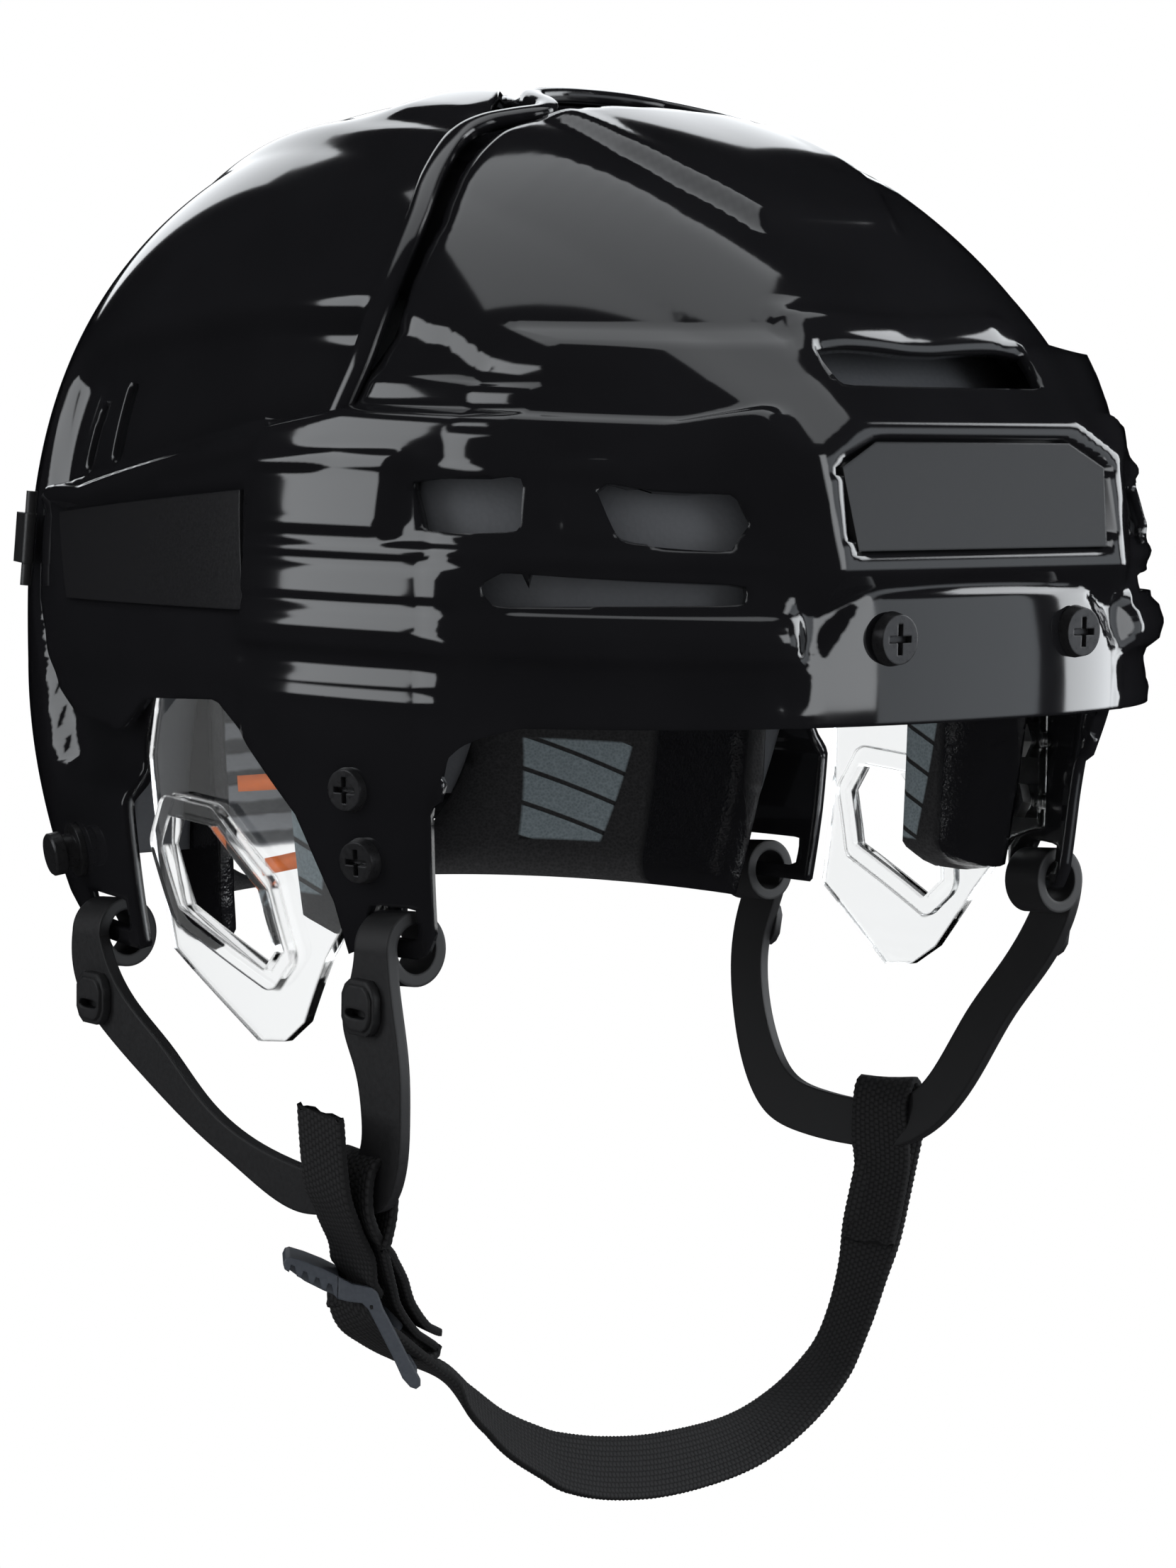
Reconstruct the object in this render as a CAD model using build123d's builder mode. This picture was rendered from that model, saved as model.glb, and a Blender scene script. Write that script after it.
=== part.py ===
# Ice hockey helmet: a two-piece adjustable shell with foam liner, pads, ear guards and chin harness.
# Lengths are millimetres. +X is the wearer's left, -Y the front and +Z up. The origin lies in the
# middle of the head opening: x = 0 is the plane of symmetry, z = 0 the lower edge of the brim and
# y = 0 runs through the ear guards.
from build123d import *
import math
import os

os.makedirs("parts", exist_ok=True)

# Overall form of the shell
half_width = 108.0
front_reach = 119.0
rear_reach = 152.0
crown_height = 131.0
skirt_depth = 75.0
apex_setback = 32.0
widest_setback = 18.0
section_point_count = 24
skirt_level_shares = (1.0, 0.67, 0.33)
level_angles = (0, 16, 31, 45, 57, 67, 75, 82)
side_taper_share = 0.09
rear_taper_share = 0.27

# Walls, steps and clearances of the shells
shell_wall = 3.0
under_wall = 2.6
slide_gap = 2.8
rim_rise = 2.4
band_rise = 3.0
brow_face_reach = 116.0
brow_tilt = 11.0
badge_depth = 2.4
side_badge_depth = 1.4
side_badge_rise = 0.5
fit_gap = 0.4
seat_gap = 0.3
running_gap = 0.08
overrun = 6.0

# Adjustment of the rear shell along Y
adjust_forward = 4.0
adjust_rearward = 6.0
slide_clearance = 0.8

# Foam and pads
liner_thickness = 15.0
liner_relief = 2.0
pad_thickness = 7.0

# Screws, studs and tabs
brow_screw_head = 11.0
brow_screw_spread = 54.0
brow_screw_height = 16.5
brow_seat_reach = 118.4
guard_screw_head = 9.5
screw_head_height = 2.6
spot_face_depth = 0.3
screw_seat = 0.1 - spot_face_depth
screw_shank = 4.2
head_taper = 12
recess_length_share = 0.56
recess_width_share = 0.12
recess_depth_share = 0.6
nut_width = 9.0
nut_thickness = 2.4
stud_flange = 12.0
stud_flange_thickness = 1.4
stud_post = 7.6
stud_post_length = 2.8
stud_head = 9.6
stud_head_length = 2.8

# Ear guards
guard_wall = 2.4
guard_rib_rise = 2.2
guard_window_rim = 4.4

# Size locks
lock_height = 29.0
lock_setback = 80.0
lock_horn_height = 4.6
lock_horn_length = 14.0
lock_horn_thickness = 4.0
lock_window = 12.0
lock_lever_length = 8.0
lock_lever_thickness = 2.8
lock_pin = 2.4

# Ear loops, which hang on a bar under the slot of each tab
loop_band = 2.6
loop_width = 10.5
loop_spread = 100.0
right_loop_drop = 57.0
left_loop_drop = 72.0
left_loop_tilt = 9.0
front_bar_y = -50.0
front_bar_z = -47.9
rear_bar_z = -56.4
bar_height = 3.4
slot_height = 7.0
ring_radius = 5.0
button_size = 10.5
button_thickness = 2.6

# Chin strap, its anchor strap and the buckle, drawn in one upright plane
webbing_width = 15.0
webbing_thickness = 1.7
strap_drop = 72.0
eye_slack = 1.3
buckle_length = 30.0
buckle_arm = 3.0
buckle_side = 2.4
buckle_bar = 3.6

# Insets of the layers below the outer surface of the shell
tongue_inset = shell_wall + slide_gap
tongue_inner_inset = tongue_inset + under_wall
liner_inset = tongue_inner_inset + seat_gap
front_liner_inset = tongue_inner_inset + liner_relief
liner_inner_inset = liner_inset + liner_thickness
pad_inset = liner_inner_inset + seat_gap
pad_inner_inset = pad_inset + pad_thickness


def place(y_share, z_share):
    """A point of a side view: shares of the reach and of the height on its own side of the origin."""
    reach = front_reach if y_share < 0 else rear_reach
    height = skirt_depth if z_share < 0 else crown_height
    return (y_share * reach, z_share * height)


def outline(plane, points, thickness):
    """Extrude a closed outline of straight sides from a plane along its normal."""
    with BuildPart(mode=Mode.PRIVATE) as body:
        with BuildSketch(plane):
            Polygon(*points, align=None)
        extrude(amount=thickness)
    return body.part


def across(shares):
    """A side-view outline extruded right across the helmet."""
    points = [place(y_share, z_share) for y_share, z_share in shares]
    half = half_width + 2 * overrun
    return outline(Plane.YZ.offset(-half), points, 2 * half)


def one_side(shares, side):
    """A side-view outline extruded from the middle plane outward, on side -1 (right) or 1 (left)."""
    points = [place(y_share, z_share) for y_share, z_share in shares]
    return outline(Plane.YZ, points, side * (half_width + 2 * overrun))


# How square the dome is seen from above, and how it closes toward the crown: two powers each
front_power = 2.6
rear_power = 2.15
side_rise_powers = (2.7, 2.05)
front_rise_powers = (2.2, 2.0)
rear_rise_powers = (2.5, 2.1)


def rise(z, powers, top):
    """How far a section above the brim still reaches, as a share of its reach at the brim."""
    share = min(max(z / top, 0.0), 1.0)
    return max(1.0 - share ** powers[0], 0.0) ** (1.0 / powers[1])


def section_sizes(z, inset):
    """Half width, middle line, front and rear reach of one level section, set in by a distance."""
    top = crown_height - inset
    taper_share = (min(z, 0.0) / skirt_depth) ** 2
    wide = (half_width - inset) * rise(z, side_rise_powers, top) * (1 - side_taper_share * taper_share)
    front = (front_reach - inset + apex_setback) * rise(z, front_rise_powers, top) - apex_setback
    rear = (rear_reach - inset - apex_setback) * rise(z, rear_rise_powers, top) + apex_setback
    rear *= 1 - rear_taper_share * taper_share
    middle = widest_setback + (apex_setback - widest_setback) * max(z, 0.0) / top
    return wide, middle, front + middle, rear - middle


def section_points(z, inset):
    """Points round one level section of the shell's outer surface."""
    wide, middle, front, rear = section_sizes(z, inset)
    points = []
    for index in range(section_point_count):
        angle = 2 * math.pi * index / section_point_count
        backward = math.sin(angle) > 0
        power = rear_power if backward else front_power
        across_share = abs(math.cos(angle)) / wide
        along_share = abs(math.sin(angle)) / (rear if backward else front)
        radius = (across_share ** power + along_share ** power) ** (-1 / power)
        points.append((radius * math.cos(angle), middle + radius * math.sin(angle)))
    return points


def surface_point(y, z, inset=0.0):
    """The point of the right-hand outer surface at one place of the side view."""
    wide, middle, front, rear = section_sizes(z, inset)
    power = rear_power if y > middle else front_power
    share = min(abs(y - middle) / (rear if y > middle else front), 1.0)
    return Vector(-wide * (1 - share ** power) ** (1 / power), y, z)


def surface_plane(y, z):
    """The plane that touches the right-hand outer surface at a place of the side view, facing out."""
    step = half_width / 40
    along = surface_point(y + step, z) - surface_point(y - step, z)
    upward = surface_point(y, z + step) - surface_point(y, z - step)
    normal = along.cross(upward)
    if normal.X > 0:
        normal = normal * -1
    return Plane(origin=surface_point(y, z), x_dir=along.normalized(), z_dir=normal.normalized())


def hull(inset):
    """The closed form inside the shell's outer surface, set in by a distance."""
    top = crown_height - inset
    levels = [-skirt_depth * share for share in skirt_level_shares]
    levels += [top * math.sin(math.radians(angle)) for angle in level_angles]
    with BuildPart(mode=Mode.PRIVATE) as form:
        for level in levels:
            with BuildSketch(Plane.XY.offset(level)):
                with BuildLine():
                    Spline(*section_points(level, inset), periodic=True)
                make_face()
        loft()
    return form.part


def layer(outer, inner, zone):
    """The wall between two forms, kept only inside a zone."""
    with BuildPart(mode=Mode.PRIVATE) as wall:
        add(outer)
        add(inner, mode=Mode.SUBTRACT)
        add(zone, mode=Mode.INTERSECT)
    return wall.part


def save(piece, name):
    piece.label = name
    export_step(piece, f"parts/{name}.step")


def save_pair(right_piece, name):
    """Write a right-hand piece and its mirror image."""
    save(right_piece, f"right_{name}")
    save(mirror(right_piece, about=Plane.YZ), f"left_{name}")


outer_form = hull(0)
wall_form = hull(shell_wall)
band_form = hull(-band_rise)
rim_form = hull(-rim_rise)
seat_form = hull(shell_wall + seat_gap)
tongue_form = hull(tongue_inset)
tongue_inner_form = hull(tongue_inner_inset)
liner_form = hull(liner_inset)
front_liner_form = hull(front_liner_inset)
liner_inner_form = hull(liner_inner_inset)
pad_form = hull(pad_inset)
pad_inner_form = hull(pad_inner_inset)

# Outlines of the shells in side view. Each pair is a share of the front or rear reach along Y and
# of the crown height or skirt depth along Z.
ear_opening_shares = [(0.157, -0.03), (-0.02, -0.01), (-0.10, -0.10), (-0.225, -0.30),
                      (-0.30, -0.53), (-0.325, -0.70), (-0.325, -1.2), (0.22, -1.2),
                      (0.22, -0.78), (0.222, -0.53), (0.24, -0.38), (0.23, -0.22)]
front_outline_shares = [(-1.2, 0.0), (-0.66, -0.02), (-0.60, -0.05), (-0.535, -0.10),
                        (-0.505, -0.22), (-0.495, -0.60), (-0.475, -0.661), (-0.325, -0.661),
                        (-0.29, -0.5), (0.20, -0.13), (0.24, -0.13), (0.36, -0.107),
                        (0.43, -0.04), (0.50, 0.12), (0.505, 0.28), (0.47, 0.31),
                        (0.36, 0.335), (0.0, 0.425), (-0.27, 0.475), (-0.30, 0.59),
                        (-0.245, 0.75), (-0.15, 0.87), (-0.11, 0.93), (-0.13, 1.2), (-1.2, 1.2)]
tongue_shares = [(-0.31, 0.67), (-0.275, 0.75), (-0.18, 0.87), (-0.15, 1.2),
                 (0.06, 1.2), (0.02, 0.87), (-0.08, 0.75), (-0.115, 0.67)]
band_shares = [(-1.2, 0.45), (-0.79, 0.455), (-0.54, 0.46), (-0.27, 0.465), (-0.06, 0.40),
               (-0.09, 0.10), (-0.52, 0.085), (-0.93, 0.09), (-1.2, 0.09)]
vent_shares = [[(-0.71, 0.345), (-0.85, 0.335), (-0.876, 0.29), (-0.87, 0.25), (-0.76, 0.26)],
               [(-0.44, 0.345), (-0.595, 0.355), (-0.625, 0.275), (-0.48, 0.27)],
               [(-0.55, 0.195), (-0.605, 0.215), (-0.895, 0.205), (-0.895, 0.175), (-0.60, 0.165)]]
side_badge_shares = [(0.453, 0.281), (-0.067, 0.337), (-0.108, 0.13), (0.402, 0.121)]
rear_upper_shares = [(-0.055, 1.2), (-0.055, 0.88), (-0.195, 0.75), (-0.245, 0.625), (0.0, 0.63),
                     (0.19, 0.61), (0.34, 0.585), (0.475, 0.562), (0.56, 0.53), (0.565, 0.30),
                     (0.56, 0.10), (0.49, -0.12), (0.40, -0.21), (0.24, -0.25), (0.22, -0.53),
                     (0.22, -0.775), (0.40, -0.775), (0.50, -0.70), (0.65, -0.65), (1.2, -0.60),
                     (1.2, 1.2)]
rim_shares = [(-0.055, 1.2), (-0.055, 0.88), (-0.195, 0.75), (-0.245, 0.625), (-0.19, 0.625),
              (-0.14, 0.75), (0.0, 0.88), (0.0, 1.2)]
panel_shares = [(-0.245, 0.645), (0.0, 0.65), (0.19, 0.63), (0.34, 0.605), (0.475, 0.582),
                (0.585, 0.55), (0.59, 0.30), (0.585, 0.09), (0.51, -0.15), (0.41, -0.25),
                (0.222, -0.29), (0.23, -0.18), (0.16, 0.10), (0.0, 0.32), (-0.22, 0.44)]
rear_slot_shares = [[(0.335, 0.515), (0.37, 0.515), (0.37, 0.37), (0.335, 0.38)],
                    [(0.43, 0.485), (0.465, 0.475), (0.485, 0.345), (0.45, 0.355)]]

# Front shell: dome, raised side band, brow block, crown hood and the tongue under the rear shell
front_zone = across(front_outline_shares)
tongue_zone = across(tongue_shares)
brow_centre_z = crown_height * 0.34
brow_plane = Plane(origin=(0, -brow_face_reach, brow_centre_z), x_dir=(1, 0, 0),
                   z_dir=(0, -math.cos(math.radians(brow_tilt)), math.sin(math.radians(brow_tilt))))
brow_half = front_reach * 0.37
brow_half_height = crown_height * 0.11
brow_points = [(-brow_half, brow_half_height * 0.55), (-brow_half * 0.74, brow_half_height),
               (brow_half * 0.74, brow_half_height), (brow_half, brow_half_height * 0.55),
               (brow_half * 0.95, -brow_half_height), (-brow_half * 0.95, -brow_half_height)]
badge_points = [(x * 0.88, y * 0.78) for x, y in brow_points]
badge_plate_points = [(x * 0.88 - math.copysign(fit_gap, x), y * 0.78 - math.copysign(fit_gap, y))
                      for x, y in brow_points]
top_vent_half = front_reach * 0.26
top_vent_points = [(-top_vent_half, crown_height * 0.555), (top_vent_half, crown_height * 0.555),
                   (top_vent_half * 0.95, crown_height * 0.505),
                   (-top_vent_half * 0.95, crown_height * 0.505)]
hood_points = [(-half_width * 0.31, -front_reach * 0.135), (-half_width * 0.31, -front_reach * 0.34),
               (-half_width * 0.28, -front_reach * 0.46), (-half_width * 0.19, -front_reach * 0.60),
               (half_width * 0.19, -front_reach * 0.60), (half_width * 0.28, -front_reach * 0.46),
               (half_width * 0.31, -front_reach * 0.34), (half_width * 0.31, -front_reach * 0.135)]
side_badge_zone = across(side_badge_shares)
side_badge_floor = hull(side_badge_depth)

front_slot_top = front_bar_z + bar_height / 2 + slot_height
front_slot = [(front_bar_y - loop_width / 2 - slide_clearance, front_slot_top),
              (front_bar_y + loop_width / 2 + slide_clearance, front_slot_top),
              (front_bar_y + loop_width / 2 + slide_clearance, front_bar_z + bar_height / 2),
              (front_bar_y - loop_width / 2 - slide_clearance, front_bar_z + bar_height / 2)]
side_reach = half_width + 2 * overrun
front_overlap_zone = front_zone & tongue_zone
side_badge_pocket = side_badge_zone - side_badge_floor

with BuildPart() as front_shell:
    add(layer(outer_form, wall_form, front_zone))
    add(layer(band_form, wall_form, across(band_shares)))
    add(layer(rim_form, wall_form, outline(Plane.XY, hood_points, crown_height + overrun)))
    with BuildSketch(brow_plane):
        Polygon(*brow_points, align=None)
    extrude(amount=-front_reach * 0.4)
    add(wall_form, mode=Mode.SUBTRACT)
    add(layer(tongue_form, tongue_inner_form, tongue_zone))
    add(layer(outer_form, tongue_inner_form, front_overlap_zone))
    add(across(ear_opening_shares), mode=Mode.SUBTRACT)
    for shares in vent_shares:
        add(across(shares), mode=Mode.SUBTRACT)
    with BuildSketch(Plane.XZ.offset(front_reach * 0.5)):
        Polygon(*top_vent_points, align=None)
    extrude(amount=front_reach, mode=Mode.SUBTRACT)
    add(side_badge_pocket, mode=Mode.SUBTRACT)
    with BuildSketch(brow_plane.offset(overrun)):
        Polygon(*badge_points, align=None)
    extrude(amount=-overrun - badge_depth, mode=Mode.SUBTRACT)
    add(outline(Plane.YZ.offset(-side_reach), front_slot, 2 * side_reach), mode=Mode.SUBTRACT)

# Rear shell: dome with a raised front rim, a sunken side panel that runs under the front shell, and
# the rear tabs with their long slots
rear_bar_y = front_bar_y + loop_spread
rear_slot_top = rear_bar_z + bar_height / 2 + slot_height
rear_slot_front = rear_bar_y - loop_width / 2 - adjust_rearward - slide_clearance
rear_slot_back = rear_bar_y + loop_width / 2 + adjust_forward + slide_clearance
rear_slot = [(rear_slot_front, rear_slot_top), (rear_slot_back, rear_slot_top),
             (rear_slot_back, rear_bar_z + bar_height / 2),
             (rear_slot_front, rear_bar_z + bar_height / 2)]
upper_zone = across(rear_upper_shares)
panel_zone = across(panel_shares)
rear_overlap_zone = upper_zone & panel_zone

with BuildPart() as rear_shell:
    add(layer(outer_form, wall_form, upper_zone))
    add(layer(rim_form, wall_form, across(rim_shares)))
    add(layer(tongue_form, tongue_inner_form, panel_zone))
    add(layer(outer_form, tongue_inner_form, rear_overlap_zone))
    for shares in rear_slot_shares:
        add(across(shares), mode=Mode.SUBTRACT)
    add(outline(Plane.YZ.offset(-side_reach), rear_slot, 2 * side_reach), mode=Mode.SUBTRACT)

# Screws, nuts and studs

guard_screw_shares = [(-0.355, -0.213), (-0.372, -0.405)]
stud_share = (0.40, -0.52)


def screw(plane, head, grip):
    """A pan head screw with a cross recess, its head seated on a plane and its shank behind it."""
    with BuildPart() as body:
        with BuildSketch(plane):
            Circle(head / 2)
        extrude(amount=screw_head_height, taper=head_taper)
        with BuildSketch(plane.offset(screw_head_height)):
            Rectangle(head * recess_length_share, head * recess_width_share)
            Rectangle(head * recess_width_share, head * recess_length_share)
        extrude(amount=-screw_head_height * recess_depth_share, mode=Mode.SUBTRACT)
        with BuildSketch(plane):
            Circle(screw_shank / 2)
        extrude(amount=-grip)
    return body.part


def nut(plane, depth):
    """A hexagonal nut whose outer face lies at a depth behind a plane."""
    with BuildPart() as body:
        with BuildSketch(plane.offset(-depth)):
            RegularPolygon(nut_width / 2, 6)
            Circle(screw_shank / 2 + running_gap, mode=Mode.SUBTRACT)
        extrude(amount=-nut_thickness)
    return body.part


def bore(plane, radius, outward, depth):
    """A round cut from a height in front of a plane to a depth behind it."""
    with BuildPart(mode=Mode.PRIVATE) as body:
        with BuildSketch(plane.offset(outward)):
            Circle(radius)
        extrude(amount=-outward - depth)
    return body.part


brow_screw_plane = Plane(origin=(-brow_screw_spread / 2, -brow_seat_reach, brow_screw_height),
                         x_dir=(1, 0, 0), z_dir=(0, -1, 0))
guard_planes = [surface_plane(*place(*share)) for share in guard_screw_shares]
stud_plane = surface_plane(*place(*stud_share))
brow_nut_depth = shell_wall + band_rise + seat_gap
guard_depth = shell_wall + seat_gap
guard_nut_depth = guard_depth + guard_wall + 2 * seat_gap
stud_nut_depth = shell_wall + 2 * seat_gap
shank_hole = screw_shank / 2 + running_gap

for side_plane, head, nut_depth, name in [
        (brow_screw_plane, brow_screw_head, brow_nut_depth, "brow_screw"),
        (guard_planes[0], guard_screw_head, guard_nut_depth, "guard_screw_upper"),
        (guard_planes[1], guard_screw_head, guard_nut_depth, "guard_screw_lower")]:
    save_pair(screw(side_plane.offset(screw_seat), head, nut_depth + nut_thickness), name)
    save_pair(nut(side_plane, nut_depth), name.replace("screw", "nut"))

with BuildPart() as stud:
    with BuildSketch(stud_plane.offset(screw_seat)):
        Circle(stud_flange / 2)
    extrude(amount=stud_flange_thickness)
    with BuildSketch(stud_plane.offset(screw_seat + stud_flange_thickness)):
        Circle(stud_post / 2)
    extrude(amount=stud_post_length)
    with BuildSketch(stud_plane.offset(screw_seat + stud_flange_thickness + stud_post_length)):
        Circle(stud_head / 2)
    extrude(amount=stud_head_length)
    chamfer(stud.faces().sort_by(Axis(stud_plane.origin, stud_plane.z_dir))[-1].edges(),
            stud_head_length * 0.15)
    with BuildSketch(stud_plane.offset(screw_seat)):
        Circle(screw_shank / 2)
    extrude(amount=-screw_seat - stud_nut_depth - nut_thickness)
save_pair(stud.part, "cage_stud")
save_pair(nut(stud_plane, stud_nut_depth), "stud_nut")

# Ear guards: a clear wall behind the front tab, ribbed round its window

guard_shares = [(0.15, 0.02), (-0.03, 0.03), (-0.14, -0.05), (-0.40, -0.12), (-0.42, -0.47),
                (-0.33, -0.52), (-0.235, -0.70), (-0.15, -0.90), (-0.085, -0.97),
                (-0.01, -0.985), (0.165, -0.76), (0.17, -0.45), (0.18, -0.20)]
window_shares = [(0.115, -0.36), (0.02, -0.37), (-0.10, -0.53), (-0.125, -0.70), (-0.085, -0.76),
                 (0.11, -0.62), (0.14, -0.45)]
window_points = [place(*share) for share in window_shares]
guard_form = hull(guard_depth)
guard_inner_form = hull(guard_depth + guard_wall)
rib_form = hull(guard_depth - guard_rib_rise)

with BuildPart() as window_rim:
    with BuildSketch(Plane.YZ):
        Polygon(*window_points, align=None)
        offset(amount=guard_window_rim)
    extrude(amount=-side_reach)

with BuildPart() as right_guard:
    add(layer(guard_form, guard_inner_form, one_side(guard_shares, -1)))
    add(layer(rib_form, guard_inner_form, window_rim.part))
    add(outline(Plane.YZ, window_points, -side_reach), mode=Mode.SUBTRACT)
    for plane in guard_planes:
        add(bore(plane, shank_hole, overrun, overrun * 2), mode=Mode.SUBTRACT)
save_pair(right_guard.part, "ear_guard")

# Size locks: a lever on a pin between two horns behind each side of the front shell

lock_plane = surface_plane(lock_setback, lock_height)
lock_gap = fit_gap * 4.5
pin_rise = lock_gap + lock_lever_thickness / 2
horn_offset = lock_window / 2 + lock_horn_height / 2
pin_plane = Plane(origin=lock_plane.origin + lock_plane.z_dir * pin_rise,
                  x_dir=lock_plane.x_dir, z_dir=lock_plane.y_dir)

with BuildPart() as horns:
    with BuildSketch(lock_plane.offset(lock_gap)):
        with Locations((-lock_horn_length * 0.15, horn_offset), (-lock_horn_length * 0.15, -horn_offset)):
            Rectangle(lock_horn_length, lock_horn_height)
    extrude(amount=lock_horn_thickness)
    with BuildSketch(lock_plane.offset(-shell_wall * 0.6)):
        with Locations((-lock_horn_length * 0.5, 0)):
            Rectangle(lock_horn_length * 0.3, lock_window + 2 * lock_horn_height)
    extrude(amount=lock_gap + lock_horn_thickness * 0.7 + shell_wall * 0.6)
    with BuildSketch(pin_plane):
        Circle(lock_pin / 2 + running_gap)
    extrude(amount=side_reach, both=True, mode=Mode.SUBTRACT)

with BuildPart() as lever:
    with BuildSketch(pin_plane):
        with Locations((lock_lever_length / 2, 0)):
            SlotCenterToCenter(lock_lever_length, lock_lever_thickness)
    extrude(amount=lock_window / 2 - fit_gap, both=True)
    with BuildSketch(pin_plane):
        Circle(lock_pin / 2)
    extrude(amount=lock_window / 2 + lock_horn_height, both=True)
save_pair(lever.part, "size_lever")

# Both shells get their screw holes once their walls stand

brow_cuts = [bore(brow_screw_plane, brow_screw_head / 2 + fit_gap, overrun, spot_face_depth),
             bore(brow_screw_plane, shank_hole, overrun, overrun * 2)]
guard_cuts = [bore(plane, guard_screw_head / 2 + fit_gap, overrun, spot_face_depth)
              for plane in guard_planes]
guard_cuts += [bore(plane, shank_hole, overrun, overrun * 2) for plane in guard_planes]
stud_cuts = [bore(stud_plane, stud_flange / 2 + fit_gap, overrun, spot_face_depth),
             bore(stud_plane, shank_hole, overrun, overrun * 2)]

with BuildPart() as front_shell_done:
    add(front_shell.part)
    add(horns.part)
    mirror(horns.part, about=Plane.YZ)
    for cut in brow_cuts + guard_cuts:
        add(cut, mode=Mode.SUBTRACT)
        mirror(cut, about=Plane.YZ, mode=Mode.SUBTRACT)
save(front_shell_done.part, "front_shell")

with BuildPart() as rear_shell_done:
    add(rear_shell.part)
    for cut in stud_cuts:
        add(cut, mode=Mode.SUBTRACT)
        mirror(cut, about=Plane.YZ, mode=Mode.SUBTRACT)
save(rear_shell_done.part, "rear_shell")

# Badge plates, bare of any mark

brow_plate_thickness = badge_depth - seat_gap
save(outline(brow_plane.offset(-brow_plate_thickness), badge_plate_points, brow_plate_thickness),
     "brow_plate")

side_plate_shares = [(0.440, 0.272), (-0.058, 0.327), (-0.098, 0.140), (0.392, 0.131)]
side_plate_form = hull(-side_badge_rise)
side_plate_back = hull(side_badge_depth - seat_gap)
save_pair(layer(side_plate_form, side_plate_back, one_side(side_plate_shares, -1)), "side_plate")

# Foam liner in two blocks, one in each shell, with a gap for the adjustment between them

seated_liner_shares = [(-1.2, 0.05), (-0.66, 0.03), (-0.42, 0.02), (-0.42, 0.40), (-1.2, 0.40)]
front_liner_shares = [(-0.66, 0.03), (-0.40, 0.02), (-0.05, 0.06), (0.08, 0.12), (0.10, 1.2),
                      (-1.2, 1.2), (-1.2, 0.30), (-0.60, 0.30)]
rear_liner_shares = [(0.18, 0.12), (0.20, 1.2), (1.2, 1.2), (1.2, -0.50), (0.72, -0.52),
                     (0.31, -0.52), (0.25, -0.05)]
nut_pocket = bore(brow_screw_plane, nut_width / 2 + fit_gap, 0, brow_nut_depth + nut_thickness + fit_gap)
with BuildPart() as front_liner:
    add(layer(seat_form, liner_inner_form, across(seated_liner_shares)))
    add(layer(front_liner_form, liner_inner_form, across(front_liner_shares)))
    add(nut_pocket, mode=Mode.SUBTRACT)
    mirror(nut_pocket, about=Plane.YZ, mode=Mode.SUBTRACT)
save(front_liner.part, "front_liner")
save(layer(liner_form, liner_inner_form, across(rear_liner_shares)), "rear_liner")

# Comfort pads, which lie on the inner side of the liner, and the temple pads behind the ear guards

forehead_pad_shares = [(-1.2, 0.04), (-0.46, 0.04), (-0.46, 0.26), (-1.2, 0.28)]
crown_pad_shares = [(-0.35, 0.70), (0.07, 0.70), (0.07, 1.2), (-0.35, 1.2)]
temple_pad_shares = [(-0.40, -0.02), (-0.12, -0.02), (-0.14, -0.60), (-0.22, -0.64), (-0.36, -0.60)]
side_pad_shares = [(0.22, 0.05), (0.70, 0.12), (0.70, -0.78), (0.24, -0.80), (0.21, -0.40)]
occipital_pad_shares = [(0.735, 0.05), (1.2, 0.05), (1.2, -0.62), (0.735, -0.66)]
save(layer(pad_form, pad_inner_form, across(forehead_pad_shares)), "forehead_pad")
save(layer(pad_form, pad_inner_form, across(crown_pad_shares)), "crown_pad")
save(layer(pad_form, pad_inner_form, across(occipital_pad_shares)), "occipital_pad")
with BuildPart() as temple_pad:
    add(layer(liner_form, liner_inner_form, one_side(temple_pad_shares, -1)))
    for plane in guard_planes:
        add(bore(plane, nut_width / 2 + fit_gap, 0, guard_nut_depth + nut_thickness + fit_gap),
            mode=Mode.SUBTRACT)
save_pair(temple_pad.part, "temple_pad")
save_pair(layer(pad_form, pad_inner_form, one_side(side_pad_shares, -1)), "side_pad")

# Ear loops: a flat band on each side, hung from the bar under each tab's slot by a ring at each end

right_outer_edge_shares = [(-0.053, 0.0), (-0.065, -0.14), (-0.095, -0.39), (-0.10, -0.58),
                           (-0.09, -0.77), (-0.05, -0.90), (0.06, -0.956), (0.22, -1.0),
                           (0.45, -0.895), (0.56, -0.825), (0.78, -0.65), (0.92, -0.52),
                           (1.02, -0.386), (1.053, -0.149)]
right_inner_edge_shares = [(0.053, 0.0), (0.07, -0.14), (0.088, -0.27), (0.05, -0.42),
                           (0.025, -0.58), (0.03, -0.72), (0.10, -0.816), (0.24, -0.833),
                           (0.41, -0.79), (0.57, -0.684), (0.71, -0.518), (0.88, -0.325),
                           (0.947, -0.149)]
left_outer_edge_shares = [(-0.053, 0.0), (-0.045, -0.11), (0.01, -0.28), (0.10, -0.46),
                          (0.18, -0.67), (0.28, -0.86), (0.40, -0.965), (0.55, -1.0),
                          (0.75, -1.0), (0.88, -0.96), (0.98, -0.83), (1.05, -0.64),
                          (1.09, -0.44), (1.09, -0.28), (1.053, -0.118)]
left_inner_edge_shares = [(0.053, 0.0), (0.08, -0.125), (0.14, -0.28), (0.23, -0.46),
                          (0.30, -0.64), (0.38, -0.78), (0.50, -0.833), (0.70, -0.84),
                          (0.82, -0.805), (0.90, -0.695), (0.96, -0.53), (0.98, -0.36),
                          (0.96, -0.22), (0.947, -0.118)]
front_bar = surface_point(front_bar_y, front_bar_z, shell_wall / 2)
rear_bar = surface_point(rear_bar_y, rear_bar_z, shell_wall / 2)


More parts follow.
